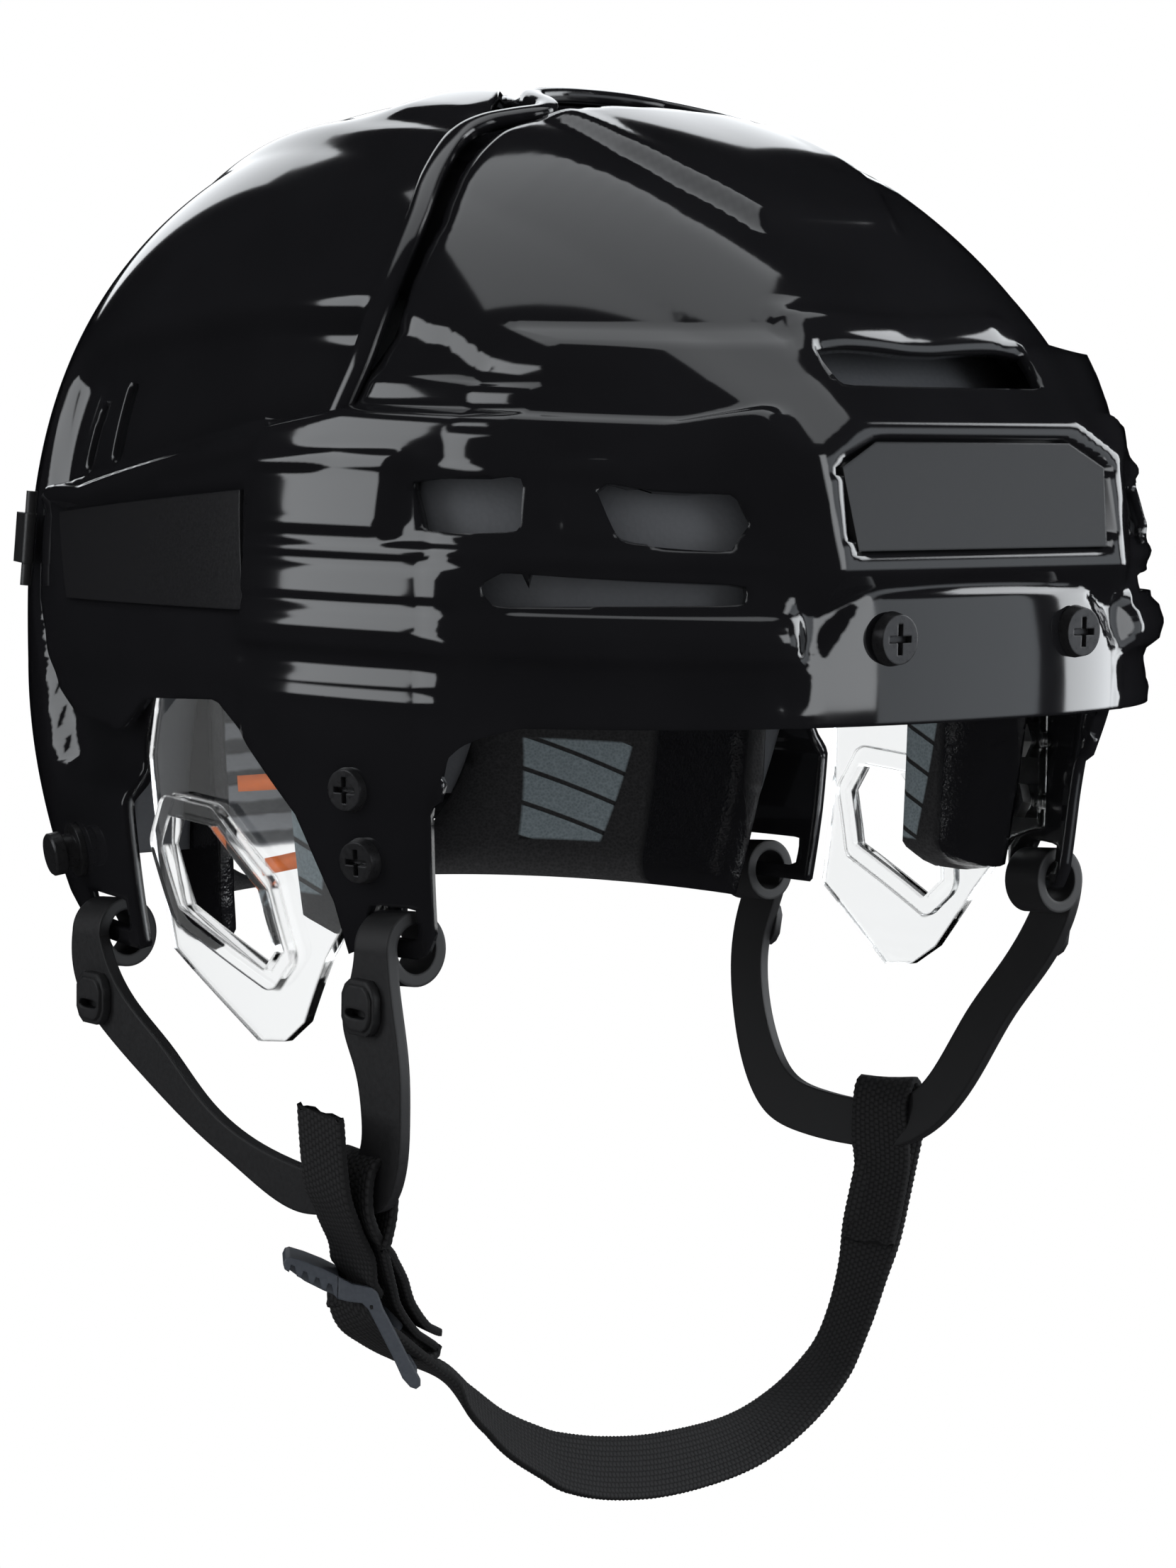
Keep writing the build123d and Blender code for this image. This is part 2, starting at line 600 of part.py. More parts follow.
def loop_plane(side, tilt):
    """The plane of a loop's middle: along from bar to bar, up leaning outward by the tilt."""
    along = Vector(side * (front_bar.X - rear_bar.X), rear_bar.Y - front_bar.Y, 0).normalized()
    lean = math.radians(tilt)
    upward = Vector(side * math.sin(lean), 0, math.cos(lean))
    return Plane(origin=(-side * front_bar.X, front_bar.Y, front_bar.Z), x_dir=along,
                 z_dir=along.cross(upward))


def ear_loop(side, tilt, drop, outer_shares, inner_shares):
    """One loop: its band lies against the outer side of both rings, which share the line of the bars."""
    plane = loop_plane(side, tilt)
    outer_points = [(along * loop_spread, up * drop) for along, up in outer_shares]
    inner_points = [(along * loop_spread, up * drop) for along, up in inner_shares]
    bar_line = Vector(side * (front_bar.X - rear_bar.X), rear_bar.Y - front_bar.Y, rear_bar.Z - front_bar.Z)
    with BuildPart() as loop:
        with BuildSketch(plane.offset(side * ring_radius)):
            with BuildLine():
                outer_edge = Spline(*outer_points)
                inner_edge = Spline(*inner_points)
                Line(outer_edge @ 0, inner_edge @ 0)
                Line(outer_edge @ 1, inner_edge @ 1)
            make_face()
        extrude(amount=side * loop_band)
        for bar in (front_bar, rear_bar):
            ring_plane = Plane(origin=(-side * bar.X, bar.Y, bar.Z), z_dir=bar_line)
            with BuildSketch(ring_plane):
                Circle(ring_radius + loop_band)
                Circle(ring_radius, mode=Mode.SUBTRACT)
            extrude(amount=loop_width / 2, both=True)
    return loop.part


def button(side, tilt, along, up):
    """A flat button on the outer face of a loop's band."""
    with BuildPart() as body:
        with BuildSketch(loop_plane(side, tilt).offset(side * (ring_radius + loop_band))):
            with Locations((along, up)):
                RectangleRounded(button_size, button_size, button_size / 4)
        extrude(amount=side * button_thickness)
    return body.part


save(ear_loop(-1, 0, right_loop_drop, right_outer_edge_shares, right_inner_edge_shares),
     "right_ear_loop")
save(ear_loop(1, left_loop_tilt, left_loop_drop, left_outer_edge_shares, left_inner_edge_shares),
     "left_ear_loop")
save(button(-1, 0, loop_spread * 0.015, -right_loop_drop * 0.20), "right_front_button")
save(button(-1, 0, loop_spread * 0.955, -right_loop_drop * 0.385), "right_rear_button")
save(button(1, left_loop_tilt, loop_spread * 0.035, -left_loop_drop * 0.165), "left_front_button")
save(button(1, left_loop_tilt, loop_spread * 1.02, -left_loop_drop * 0.30), "left_rear_button")

# Chin strap: a sewn eye round the left loop, then one ribbon under the chin, through the buckle and
# up to its free end. The straps hang in one upright plane, which holds both eyes.

left_eye_along = loop_spread * 0.55
right_eye_along = loop_spread * 0.12
left_eye_up = -left_loop_drop * 0.911
right_eye_up = -right_loop_drop * 0.862
left_eye_height = left_loop_drop * 0.18 + 2 * eye_slack
right_eye_height = right_loop_drop * 0.25 + 2 * eye_slack
eye_width = loop_band + 2 * eye_slack


def eye_plane(side, tilt, along, up):
    """The plane across a loop's band at the place where an eye goes round it."""
    plane = loop_plane(side, tilt)
    centre = plane.from_local_coords(Vector(along, up, side * (ring_radius + loop_band / 2)))
    return Plane(origin=centre, x_dir=plane.z_dir, z_dir=plane.x_dir)


def eye(plane, inner_height):
    """A closed eye of webbing round a loop's band."""
    corner = webbing_thickness + eye_slack
    outer_width = eye_width + 2 * webbing_thickness
    with BuildPart(mode=Mode.PRIVATE) as body:
        with BuildSketch(plane):
            RectangleRounded(outer_width, inner_height + 2 * webbing_thickness, corner)
            RectangleRounded(eye_width, inner_height, eye_slack, mode=Mode.SUBTRACT)
        extrude(amount=webbing_width / 2, both=True)
    return body.part


left_eye_plane = eye_plane(1, left_loop_tilt, left_eye_along, left_eye_up)
right_eye_plane = eye_plane(-1, 0, right_eye_along, right_eye_up)
strap_down = Vector(0, 0, -1)
strap_normal = strap_down.cross(left_eye_plane.origin - right_eye_plane.origin).normalized()
strap_across = Vector(0, 0, 1).cross(strap_normal).normalized()
strap_plane = Plane(origin=left_eye_plane.origin, x_dir=strap_across, z_dir=strap_normal)
right_eye_place = strap_plane.to_local_coords(right_eye_plane.origin)
strap_reach = -right_eye_place.X
strap_shares = [(0.035, -0.25), (0.055, -0.36), (0.048, -0.484), (0.011, -0.648), (-0.043, -0.774),
                (-0.117, -0.886), (-0.22, -0.971), (-0.353, -0.99), (-0.475, -0.94), (-0.573, -0.862),
                (-0.655, -0.776), (-0.73, -0.663), (-0.793, -0.556)]
buckle_route_shares = [(0.81, -1.66), (0.42, -1.42), (0.13, -1.19), (0.01, -1.02), (0.03, -0.88),
                       (0.13, -0.79), (0.235, -0.735), (0.21, -0.62), (0.09, -0.56), (-0.07, -0.50),
                       (-0.20, -0.42), (-0.255, -0.25), (-0.26, 0.05), (-0.26, 0.25), (-0.27, 0.52)]


def at_buckle(u_share, v_share):
    """A place in the strap's plane, in shares of the buckle's length from the right eye."""
    return (right_eye_place.X + u_share * buckle_length, right_eye_place.Y + v_share * buckle_length)


def ribbon(points):
    """A strap of even thickness along a path in the strap's plane."""
    sides = ([], [])
    for index, (u, v) in enumerate(points):
        before = points[max(index - 1, 0)]
        after = points[min(index + 1, len(points) - 1)]
        run, climb = after[0] - before[0], after[1] - before[1]
        length = math.hypot(run, climb)
        for sign, edge in ((1, sides[0]), (-1, sides[1])):
            edge.append((u - sign * climb / length * webbing_thickness / 2,
                         v + sign * run / length * webbing_thickness / 2))
    with BuildPart(mode=Mode.PRIVATE) as strap:
        with BuildSketch(strap_plane):
            with BuildLine():
                upper_edge = Spline(*sides[0])
                lower_edge = Spline(*sides[1])
                Line(upper_edge @ 0, lower_edge @ 0)
                Line(upper_edge @ 1, lower_edge @ 1)
            make_face()
        extrude(amount=webbing_width / 2, both=True)
    return strap.part


strap_points = [(0, -left_eye_height / 2 - webbing_thickness / 2)]
strap_points += [(u * strap_reach, v * strap_drop) for u, v in strap_shares]
strap_points += [at_buckle(*share) for share in buckle_route_shares]

with BuildPart() as chin_strap:
    add(ribbon(strap_points))
    add(eye(left_eye_plane, left_eye_height))
save(chin_strap.part, "chin_strap")

# Buckle: two side arms, a bar for the anchor strap, a middle bar and the lever

lever_tip = at_buckle(-0.56, -0.46)
lever_root = at_buckle(-0.07, -0.66)
middle_bar = at_buckle(0.37, -0.825)
anchor_bar = at_buckle(0.91, -1.50)
arm_offset = webbing_width / 2 + fit_gap


def arm(start_point, end_point, start, amount):
    """A bar with round ends along a line of the profile, as wide as the amount across it."""
    run, climb = end_point[0] - start_point[0], end_point[1] - start_point[1]
    centre = ((start_point[0] + end_point[0]) / 2, (start_point[1] + end_point[1]) / 2)
    with BuildPart(mode=Mode.PRIVATE) as body:
        with BuildSketch(strap_plane.offset(start)):
            with Locations(Location(centre, math.degrees(math.atan2(climb, run)))):
                SlotCenterToCenter(math.hypot(run, climb), buckle_arm)
        extrude(amount=amount)
    return body.part


with BuildPart() as buckle:
    for side in (-1, 1):
        add(arm(lever_tip, middle_bar, side * arm_offset, side * buckle_side))
        add(arm(middle_bar, anchor_bar, side * arm_offset, side * buckle_side))
    add(arm(lever_tip, lever_root, -arm_offset, 2 * arm_offset))
    with BuildSketch(strap_plane):
        with Locations(middle_bar, anchor_bar):
            Circle(buckle_bar / 2)
    extrude(amount=arm_offset + buckle_side / 2, both=True)
save(buckle.part, "buckle")

# Anchor strap from the right loop down to the buckle

anchor_eye_radius = buckle_bar / 2 + seat_gap
anchor_side = anchor_bar[0] + anchor_eye_radius + webbing_thickness / 2
anchor_points = [(right_eye_place.X, right_eye_place.Y - right_eye_height / 2 - webbing_thickness / 2),
                 at_buckle(0.17, -0.45), at_buckle(0.38, -0.62), at_buckle(0.53, -0.80),
                 at_buckle(0.82, -1.15), (anchor_side, anchor_bar[1])]
with BuildPart() as anchor_strap:
    add(eye(right_eye_plane, right_eye_height))
    add(ribbon(anchor_points))
    with BuildSketch(strap_plane):
        with Locations(anchor_bar):
            Circle(anchor_eye_radius + webbing_thickness)
            Circle(anchor_eye_radius, mode=Mode.SUBTRACT)
    extrude(amount=webbing_width / 2, both=True)
save(anchor_strap.part, "anchor_strap")

print("front bar", tuple(front_bar), "rear bar", tuple(rear_bar))
print("lock pin", tuple(pin_plane.origin), "axis", tuple(pin_plane.z_dir))
print("stud", tuple(stud_plane.origin), "normal", tuple(stud_plane.z_dir))
print("eyes", tuple(left_eye_plane.origin), tuple(right_eye_plane.origin))
print("strap plane", tuple(strap_plane.x_dir), tuple(strap_plane.y_dir), tuple(strap_plane.z_dir))
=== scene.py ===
import math

import bmesh
import bpy
from mathutils import Matrix, Vector


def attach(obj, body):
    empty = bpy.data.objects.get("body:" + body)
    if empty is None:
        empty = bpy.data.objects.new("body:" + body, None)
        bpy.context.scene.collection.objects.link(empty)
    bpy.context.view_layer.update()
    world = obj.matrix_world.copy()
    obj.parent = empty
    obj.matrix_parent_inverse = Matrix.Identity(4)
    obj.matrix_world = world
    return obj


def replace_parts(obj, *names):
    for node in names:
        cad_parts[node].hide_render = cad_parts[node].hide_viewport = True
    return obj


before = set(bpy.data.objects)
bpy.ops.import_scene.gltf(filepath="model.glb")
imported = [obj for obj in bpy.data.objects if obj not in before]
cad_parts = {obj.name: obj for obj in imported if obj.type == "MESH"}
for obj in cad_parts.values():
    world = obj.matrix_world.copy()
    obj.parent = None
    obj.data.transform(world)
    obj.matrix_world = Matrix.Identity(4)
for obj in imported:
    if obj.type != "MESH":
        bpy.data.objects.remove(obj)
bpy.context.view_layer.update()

# The studio: a white floor under the strap, soft boxes above, on each side, in front and behind, and
# the camera at the height of the brow, a little less than a metre from the helmet.
view = bpy.data.cameras.new("portrait")
view.sensor_width = 36
view.lens = 84.63
view.clip_start = 0.05
portrait = bpy.data.objects.new("portrait", view)
portrait.matrix_world = Matrix(((0.75693, 0.05524, -0.65115, -0.54783),
                                (-0.65326, 0.09042, -0.75171, -0.62881),
                                (0.01736, 0.99437, 0.10453, 0.06307), (0, 0, 0, 1)))
bpy.context.collection.objects.link(portrait)
bpy.context.scene.camera = portrait


def soft_box(name, size, place, aim, power, tint):
    """A rectangular lamp that looks at a point."""
    lamp = bpy.data.lights.new(name, "AREA")
    lamp.shape = "RECTANGLE"
    lamp.size, lamp.size_y = size
    lamp.energy = power
    lamp.color = tint
    holder = bpy.data.objects.new(name, lamp)
    look = Vector(aim) - Vector(place)
    holder.matrix_world = Matrix.Translation(place) @ look.to_track_quat("-Z", "Y").to_matrix().to_4x4()
    bpy.context.collection.objects.link(holder)


helmet_middle, crown_middle, brow_middle = (0, 0, 0.03), (0, 0, 0.1), (0, -0.1, 0.03)
cool, cooler = (0.94, 0.97, 1), (0.88, 0.94, 1)
soft_box("overhead box", (1.3, 1.0), (0.1, 0.1, 1.3), crown_middle, 6, cool)
soft_box("left box", (0.55, 0.9), (-1.1, 0.45, 0.40), helmet_middle, 6, cool)
soft_box("front box", (0.55, 0.9), (0.35, -1.5, 0.35), helmet_middle, 7, cool)
soft_box("right box", (0.5, 1.2), (1.2, -0.5, 0.35), helmet_middle, 12, cool)
soft_box("rear box", (1.2, 0.8), (0.9, 1.4, 0.75), helmet_middle, 6, cool)
soft_box("brow box", (0.7, 0.8), (0.85, -1.15, 0.10), brow_middle, 2.5, cooler)
surround = bpy.data.worlds.new("white room")
surround.use_nodes = True
for name, value in (("Color", (1, 1, 1, 1)), ("Strength", 1.0)):
    surround.node_tree.nodes["Background"].inputs[name].default_value = value
surround.cycles_visibility.glossy = False
bpy.context.scene.world = surround
bpy.context.scene.view_settings.view_transform = "Standard"

floor_half, floor_height = 6, -0.2
floor_sheet = bmesh.new()
bmesh.ops.create_grid(floor_sheet, x_segments=1, y_segments=1, size=floor_half)
bmesh.ops.translate(floor_sheet, verts=floor_sheet.verts, vec=(0, 0, floor_height))
floor_mesh = bpy.data.meshes.new("floor")
floor_sheet.to_mesh(floor_mesh)
floor_sheet.free()
floor = bpy.data.objects.new("floor", floor_mesh)
floor_paint = bpy.data.materials.new("white paper")
floor_paint.use_nodes = True
for name, value in (("Base Color", (0, 0, 0, 1)), ("Specular IOR Level", 0),
                    ("Emission Color", (1, 1, 1, 1)), ("Emission Strength", 1)):
    floor_paint.node_tree.nodes["Principled BSDF"].inputs[name].default_value = value
floor_mesh.materials.append(floor_paint)
bpy.context.collection.objects.link(floor)
floor.visible_glossy = False


# The two shells: injection moulded plastic, high gloss black, 3 mm thick. The front one carries the
# side band with its vents and the brow block, the rear one overlaps it at the crown.
class Wire:
    """A value that runs through a finish. A sum written on it becomes its maths nodes."""

    def __init__(self, tree, socket=None):
        self.tree = tree
        self.socket = socket

    def make(self, kind, settings, sockets, output=0):
        """Add one node: first its settings, then the values or wires of its sockets."""
        node = self.tree.nodes.new(kind)
        for name, value in settings.items():
            setattr(node, name, value)
        for name, value in sockets.items():
            if isinstance(value, Wire):
                self.tree.links.new(value.socket, node.inputs[name])
            else:
                node.inputs[name].default_value = value
        return Wire(self.tree, node.outputs[output])

    def maths(self, operation, first, second):
        return self.make("ShaderNodeMath", {"operation": operation}, {0: first, 1: second})

    def __add__(self, other):
        return self.maths("ADD", self, other)

    def __radd__(self, other):
        return self.maths("ADD", other, self)

    def __sub__(self, other):
        return self.maths("SUBTRACT", self, other)

    def __rsub__(self, other):
        return self.maths("SUBTRACT", other, self)

    def __mul__(self, other):
        return self.maths("MULTIPLY", self, other)

    def __rmul__(self, other):
        return self.maths("MULTIPLY", other, self)

    def shaped(self, operation, value=0.0):
        """This value after one maths operation."""
        return self.maths(operation, self, value)

    def noise(self, scale, detail=3.0):
        """Soft grain of one size on these coordinates, from 0 to 1."""
        return self.make("ShaderNodeTexNoise", {}, {"Vector": self, "Scale": scale, "Detail": detail})

    def within(self, low, high, soft=0.0003):
        """1 where this value lies between two others, with soft edges."""
        rising = self.make("ShaderNodeMapRange", {}, {0: self, 1: low - soft, 2: low + soft})
        falling = self.make("ShaderNodeMapRange", {}, {0: self, 1: high + soft, 2: high - soft})
        return rising * falling

    def blend(self, first, second):
        """A colour between two, by this value."""
        return self.make("ShaderNodeMix", {"data_type": "RGBA"}, {0: self, 6: first, 7: second}, 2)


def finish(name, rough, coat=0.0):
    """A new material, with its shader's fixed values, and the object's coordinates."""
    material = bpy.data.materials.new(name)
    material.use_nodes = True
    shader = material.node_tree.nodes["Principled BSDF"]
    shader.inputs["Roughness"].default_value = rough
    shader.inputs["Coat Weight"].default_value = coat
    shader.inputs["Coat Roughness"].default_value = 0.04
    place = Wire(material.node_tree).make("ShaderNodeTexCoord", {}, {}, 3)
    return material, shader, place


def feed(shader, name, wire):
    wire.tree.links.new(wire.socket, shader.inputs[name])


def rounded(place, radius, height, depth, strength):
    """Normals that soften the hard edges by a radius, with a fine relief on them."""
    normal = place.make("ShaderNodeBevel", {"samples": 4}, {"Radius": radius})
    return place.make("ShaderNodeBump", {}, {"Strength": strength, "Distance": depth, "Height": height,
                                             "Normal": normal})


gloss_black, shader, place = finish("moulded gloss black", 0.1)
wear = place.noise(35.0, 5.0)
feed(shader, "Base Color", wear.blend((0.004, 0.004, 0.0045, 1), (0.007, 0.007, 0.008, 1)))
feed(shader, "Roughness", wear * 0.06 + 0.04)
feed(shader, "Normal", rounded(place, 0.0007, place.noise(90.0, 2.0), 0.0003, 0.05))


def link(name, shape, body, material):
    """Put a finished mesh in the scene, on its body, with its finish."""
    mesh = bpy.data.meshes.new(name)
    shape.to_mesh(mesh)
    shape.free()
    piece = bpy.data.objects.new(name, mesh)
    bpy.context.collection.objects.link(piece)
    mesh.materials.append(material)
    for face in mesh.polygons:
        face.use_smooth = True
    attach(piece, body)
    return piece


def creased(work, sharp=math.radians(32)):
    """Keep the edges hard where the surface turns sharply."""
    for edge in work.edges:
        edge.smooth = len(edge.link_faces) == 2 and edge.calc_face_angle(0) < sharp


def recast(node, name, body, material):
    """The CAD node's own shape with its loose triangles joined, smooth but for its hard edges."""
    work = bmesh.new()
    work.from_mesh(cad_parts[node].data)
    bmesh.ops.remove_doubles(work, verts=work.verts, dist=0.00001)
    creased(work)
    piece = link(name, work, body, material)
    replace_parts(piece, node)


half_width, front_reach, rear_reach = 0.108, 0.119, 0.152
crown_height, skirt_depth = 0.131, 0.075


def rise(share, square, close):
    """How far the dome still reaches at a share of its height."""
    return max(1 - min(share, 1) ** square, 0) ** (1 / close)


def dome(turn, climb, depth=0.0):
    """A point of the dome, sunk by a depth. turn is 0 at the left ear and a quarter turn at the back,
    climb is 1 at the crown, 0 at the brim and -1 at the skirt's edge."""
    share = math.sin(max(climb, 0) * math.pi / 2)
    height = (crown_height - depth) * share if climb > 0 else skirt_depth * climb
    taper = min(climb, 0) ** 2
    wide = (half_width - depth) * rise(share, 2.7, 2.05) * (1 - 0.09 * taper)
    front = (front_reach - depth + 0.032) * rise(share, 2.2, 2.0) - 0.032
    rear = ((rear_reach - depth - 0.032) * rise(share, 2.5, 2.1) + 0.032) * (1 - 0.27 * taper)
    middle = 0.018 + 0.014 * share
    reach, power = (rear - middle, 2.15) if math.sin(turn) > 0 else (front + middle, 2.6)
    spread = (abs(math.cos(turn)) / max(wide, 1e-6)) ** power
    spread += (abs(math.sin(turn)) / max(reach, 1e-6)) ** power
    size = spread ** (-1 / power)
    return Vector((size * math.cos(turn), middle + size * math.sin(turn), height))


def side_view(shares):
    """An outline in metres from shares of the front or rear reach and of the crown or skirt."""
    return [(y * (front_reach if y < 0 else rear_reach), z * (skirt_depth if z < 0 else crown_height))
            for y, z in shares]


def beyond(u, v, outline):
    """How far a point lies outside a closed outline, negative inside it."""
    nearest, inside = 1.0, False
    for (u1, v1), (u2, v2) in zip(outline, outline[1:] + outline[:1]):
        du, dv = u2 - u1, v2 - v1
        share = min(max(((u - u1) * du + (v - v1) * dv) / (du * du + dv * dv), 0), 1)
        nearest = min(nearest, math.hypot(u - u1 - share * du, v - v1 - share * dv))
        if (v1 > v) != (v2 > v) and u < u1 + (v - v1) / dv * du:
            inside = not inside
    return -nearest if inside else nearest


def ease(value, low, high):
    """A soft step from 0 at low to 1 at high."""
    share = min(max((value - low) / (high - low), 0), 1)
    return share * share * (3 - 2 * share)


def along(value, stops):
    """A smooth line through stops of (place, height)."""
    if value <= stops[0][0]:
        return stops[0][1]
    for (start, low), (end, high) in zip(stops, stops[1:]):
        if value <= end:
            return low + (high - low) * ease(value, start, end)
    return stops[-1][1]


def straight(value, stops):
    """The straight line through stops of (place, height)."""
    if value <= stops[0][0]:
        return stops[0][1]
    for (start, low), (end, high) in zip(stops, stops[1:]):
        if value <= end:
            return low + (high - low) * (value - start) / (end - start)
    return stops[-1][1]


def wrapped(turns, climbs, outside, form, depth=0.0, lining=None):
    """A grid wrapped round the dome: trimmed where outside is positive, then put in its form. A lining
    is the form of its back, which closes it."""
    work = bmesh.new()
    columns, rows = len(turns) - 1, len(climbs) - 1
    bmesh.ops.create_grid(work, x_segments=columns, y_segments=rows, size=1)
    past = {}
    for vert in work.verts:
        turn = turns[round((vert.co.x + 1) / 2 * columns)]
        climb = climbs[round((vert.co.y + 1) / 2 * rows)]
        vert.co = (turn, climb, 0)
        past[vert] = outside(dome(turn, climb, depth))
    cut = [face for face in work.faces if all(past[vert] > 0 for vert in face.verts)]
    bmesh.ops.delete(work, geom=cut, context="FACES")
    trims = {}
    for vert in work.verts:
        if past[vert] <= 0:
            continue
        kept = [edge.other_vert(vert) for edge in vert.link_edges if past[edge.other_vert(vert)] <= 0]
        kept = kept or [mate for face in vert.link_faces for mate in face.verts if past[mate] <= 0]
        ends = []
        for mate in kept:
            inner, outer = mate.co.copy(), vert.co.copy()
            for step in range(9):
                between = (inner + outer) / 2
                if outside(dome(between.x, between.y, depth)) > 0:
                    outer = between
                else:
                    inner = between
            ends.append(inner)
        trims[vert] = sum(ends, Vector()) / len(ends)
    for vert, spot in trims.items():
        vert.co = spot
    layers = [(work.verts[:], form)]
    if lining:
        twin = bmesh.ops.duplicate(work, geom=work.verts[:] + work.edges[:] + work.faces[:])["geom"]
        layers.append(([item for item in twin if isinstance(item, bmesh.types.BMVert)], lining))
    for verts, placing in layers:
        for vert in verts:
            vert.co = placing(vert.co.x, vert.co.y)
    bmesh.ops.remove_doubles(work, verts=work.verts, dist=0.00005)
    work.normal_update()
    outward = sum(face.normal.dot(face.calc_center_median() - Vector((0, 0.03, 0))) for face in work.faces)
    if outward < 0:
        bmesh.ops.reverse_faces(work, faces=work.faces)
    return work


def walled(piece, thickness):
    """Give an open skin its wall, toward the inside."""
    wall = piece.modifiers.new("wall", "SOLIDIFY")
    wall.thickness = thickness
    wall.offset = -1
    wall.use_even_offset = False
    return piece


def spaced(low, high, gap, size):
    """Places from low to high about a gap apart on something of a size."""
    count = max(round((high - low) * size / gap), 2)
    return [low + (high - low) * index / count for index in range(count + 1)]


front_outline = side_view([(-1.2, 0.0), (-0.66, -0.02), (-0.60, -0.05), (-0.535, -0.10), (-0.505, -0.22),
                           (-0.495, -0.60), (-0.475, -0.661), (-0.325, -0.661), (-0.325, -0.70),
                           (-0.30, -0.53), (-0.225, -0.30), (-0.10, -0.10), (-0.02, -0.01),
                           (0.157, -0.03), (0.22, -0.13), (0.24, -0.13), (0.36, -0.107), (0.43, -0.04),
                           (0.50, 0.12), (0.505, 0.28), (0.47, 0.31), (0.36, 0.335), (0.0, 0.425),
                           (-0.27, 0.475), (-0.30, 0.59), (-0.245, 0.75), (-0.15, 0.87), (-0.11, 0.93),
                           (-0.13, 1.2), (-1.2, 1.2)])
tongue = side_view([(-0.6, 0.67), (-0.115, 0.67), (-0.08, 0.75), (0.02, 0.87), (0.08, 1.2), (-0.6, 1.2)])
front_slot = [(-0.05605, -0.0462), (-0.05605, -0.0392), (-0.04395, -0.0392), (-0.04395, -0.0462)]
vents = [side_view(shares) for shares in (
    [(-0.71, 0.345), (-0.85, 0.335), (-0.876, 0.29), (-0.87, 0.25), (-0.76, 0.26)],
    [(-0.44, 0.345), (-0.595, 0.355), (-0.625, 0.275), (-0.48, 0.27)],
    [(-0.55, 0.195), (-0.605, 0.215), (-0.895, 0.205), (-0.895, 0.175), (-0.60, 0.165)])]
top_vent = [(-0.031, 0.0725), (0.031, 0.0725), (0.0295, 0.0662), (-0.0295, 0.0662)]
band_profile = [(0, 1.3), (2.2, 1.5), (4, 0.9), (8.5, 0.4), (10.2, 0.9), (13, 4.0), (16, 4.8),
                (19, 4.2), (21.5, 2.6), (27.8, 2.4), (31, 3.9), (34, 2.8), (38, 2.2), (45, 2.2),
                (50, 4.0), (53, 4.4)]
band_top = [(-0.110, 0.0655), (-0.097, 0.0625), (-0.090, 0.0593), (-0.033, 0.0608), (-0.007, 0.056),
            (0.054, 0.0435)]
brow_face = [(-0.044, 0.0079), (-0.0326, 0.0144), (0.0326, 0.0144), (0.044, 0.0079), (0.0418, -0.0144),
             (-0.0418, -0.0144)]
badge_pocket = [(x * 0.88, z * 0.78) for x, z in brow_face]
chin_plate = [(-0.033, 0.0262), (0.033, 0.0262), (0.0436, 0.015), (0.049, 0.0099), (0.0475, -0.005),
              (-0.0475, -0.005), (-0.049, 0.0099), (-0.0436, 0.015)]
crown_crease = [(0.0450, -0.0137), (0.0445, -0.0374), (0.0383, -0.0659), (0.0308, -0.0804),
                (0.0234, -0.0914)]
hood = [(-0.0335, -0.016), (-0.0335, -0.040), (-0.030, -0.055), (-0.0206, -0.0714), (0.0206, -0.0714),
        (0.030, -0.055), (0.0335, -0.040), (0.0335, -0.016)]
horn = [(-0.0323, 0.0790), (-0.0487, 0.0757), (-0.0700, 0.0639), (-0.0525, 0.0655), (-0.0335, 0.0665)]
side_pocket = side_view([(0.453, 0.281), (-0.067, 0.337), (-0.108, 0.13), (0.402, 0.121)])


def front_outside(spot):
    """Positive where the front shell has no wall: outside its outline, in a slot or in a vent."""
    past = min(beyond(spot.y, spot.z, front_outline), beyond(spot.y, spot.z, tongue))
    past = max(past, -beyond(spot.y, spot.z, front_slot))
    for vent in vents:
        past = max(past, -beyond(spot.y, spot.z, vent))
    if spot.y < -0.06:
        past = max(past, -beyond(spot.x, spot.z, top_vent))
    return past


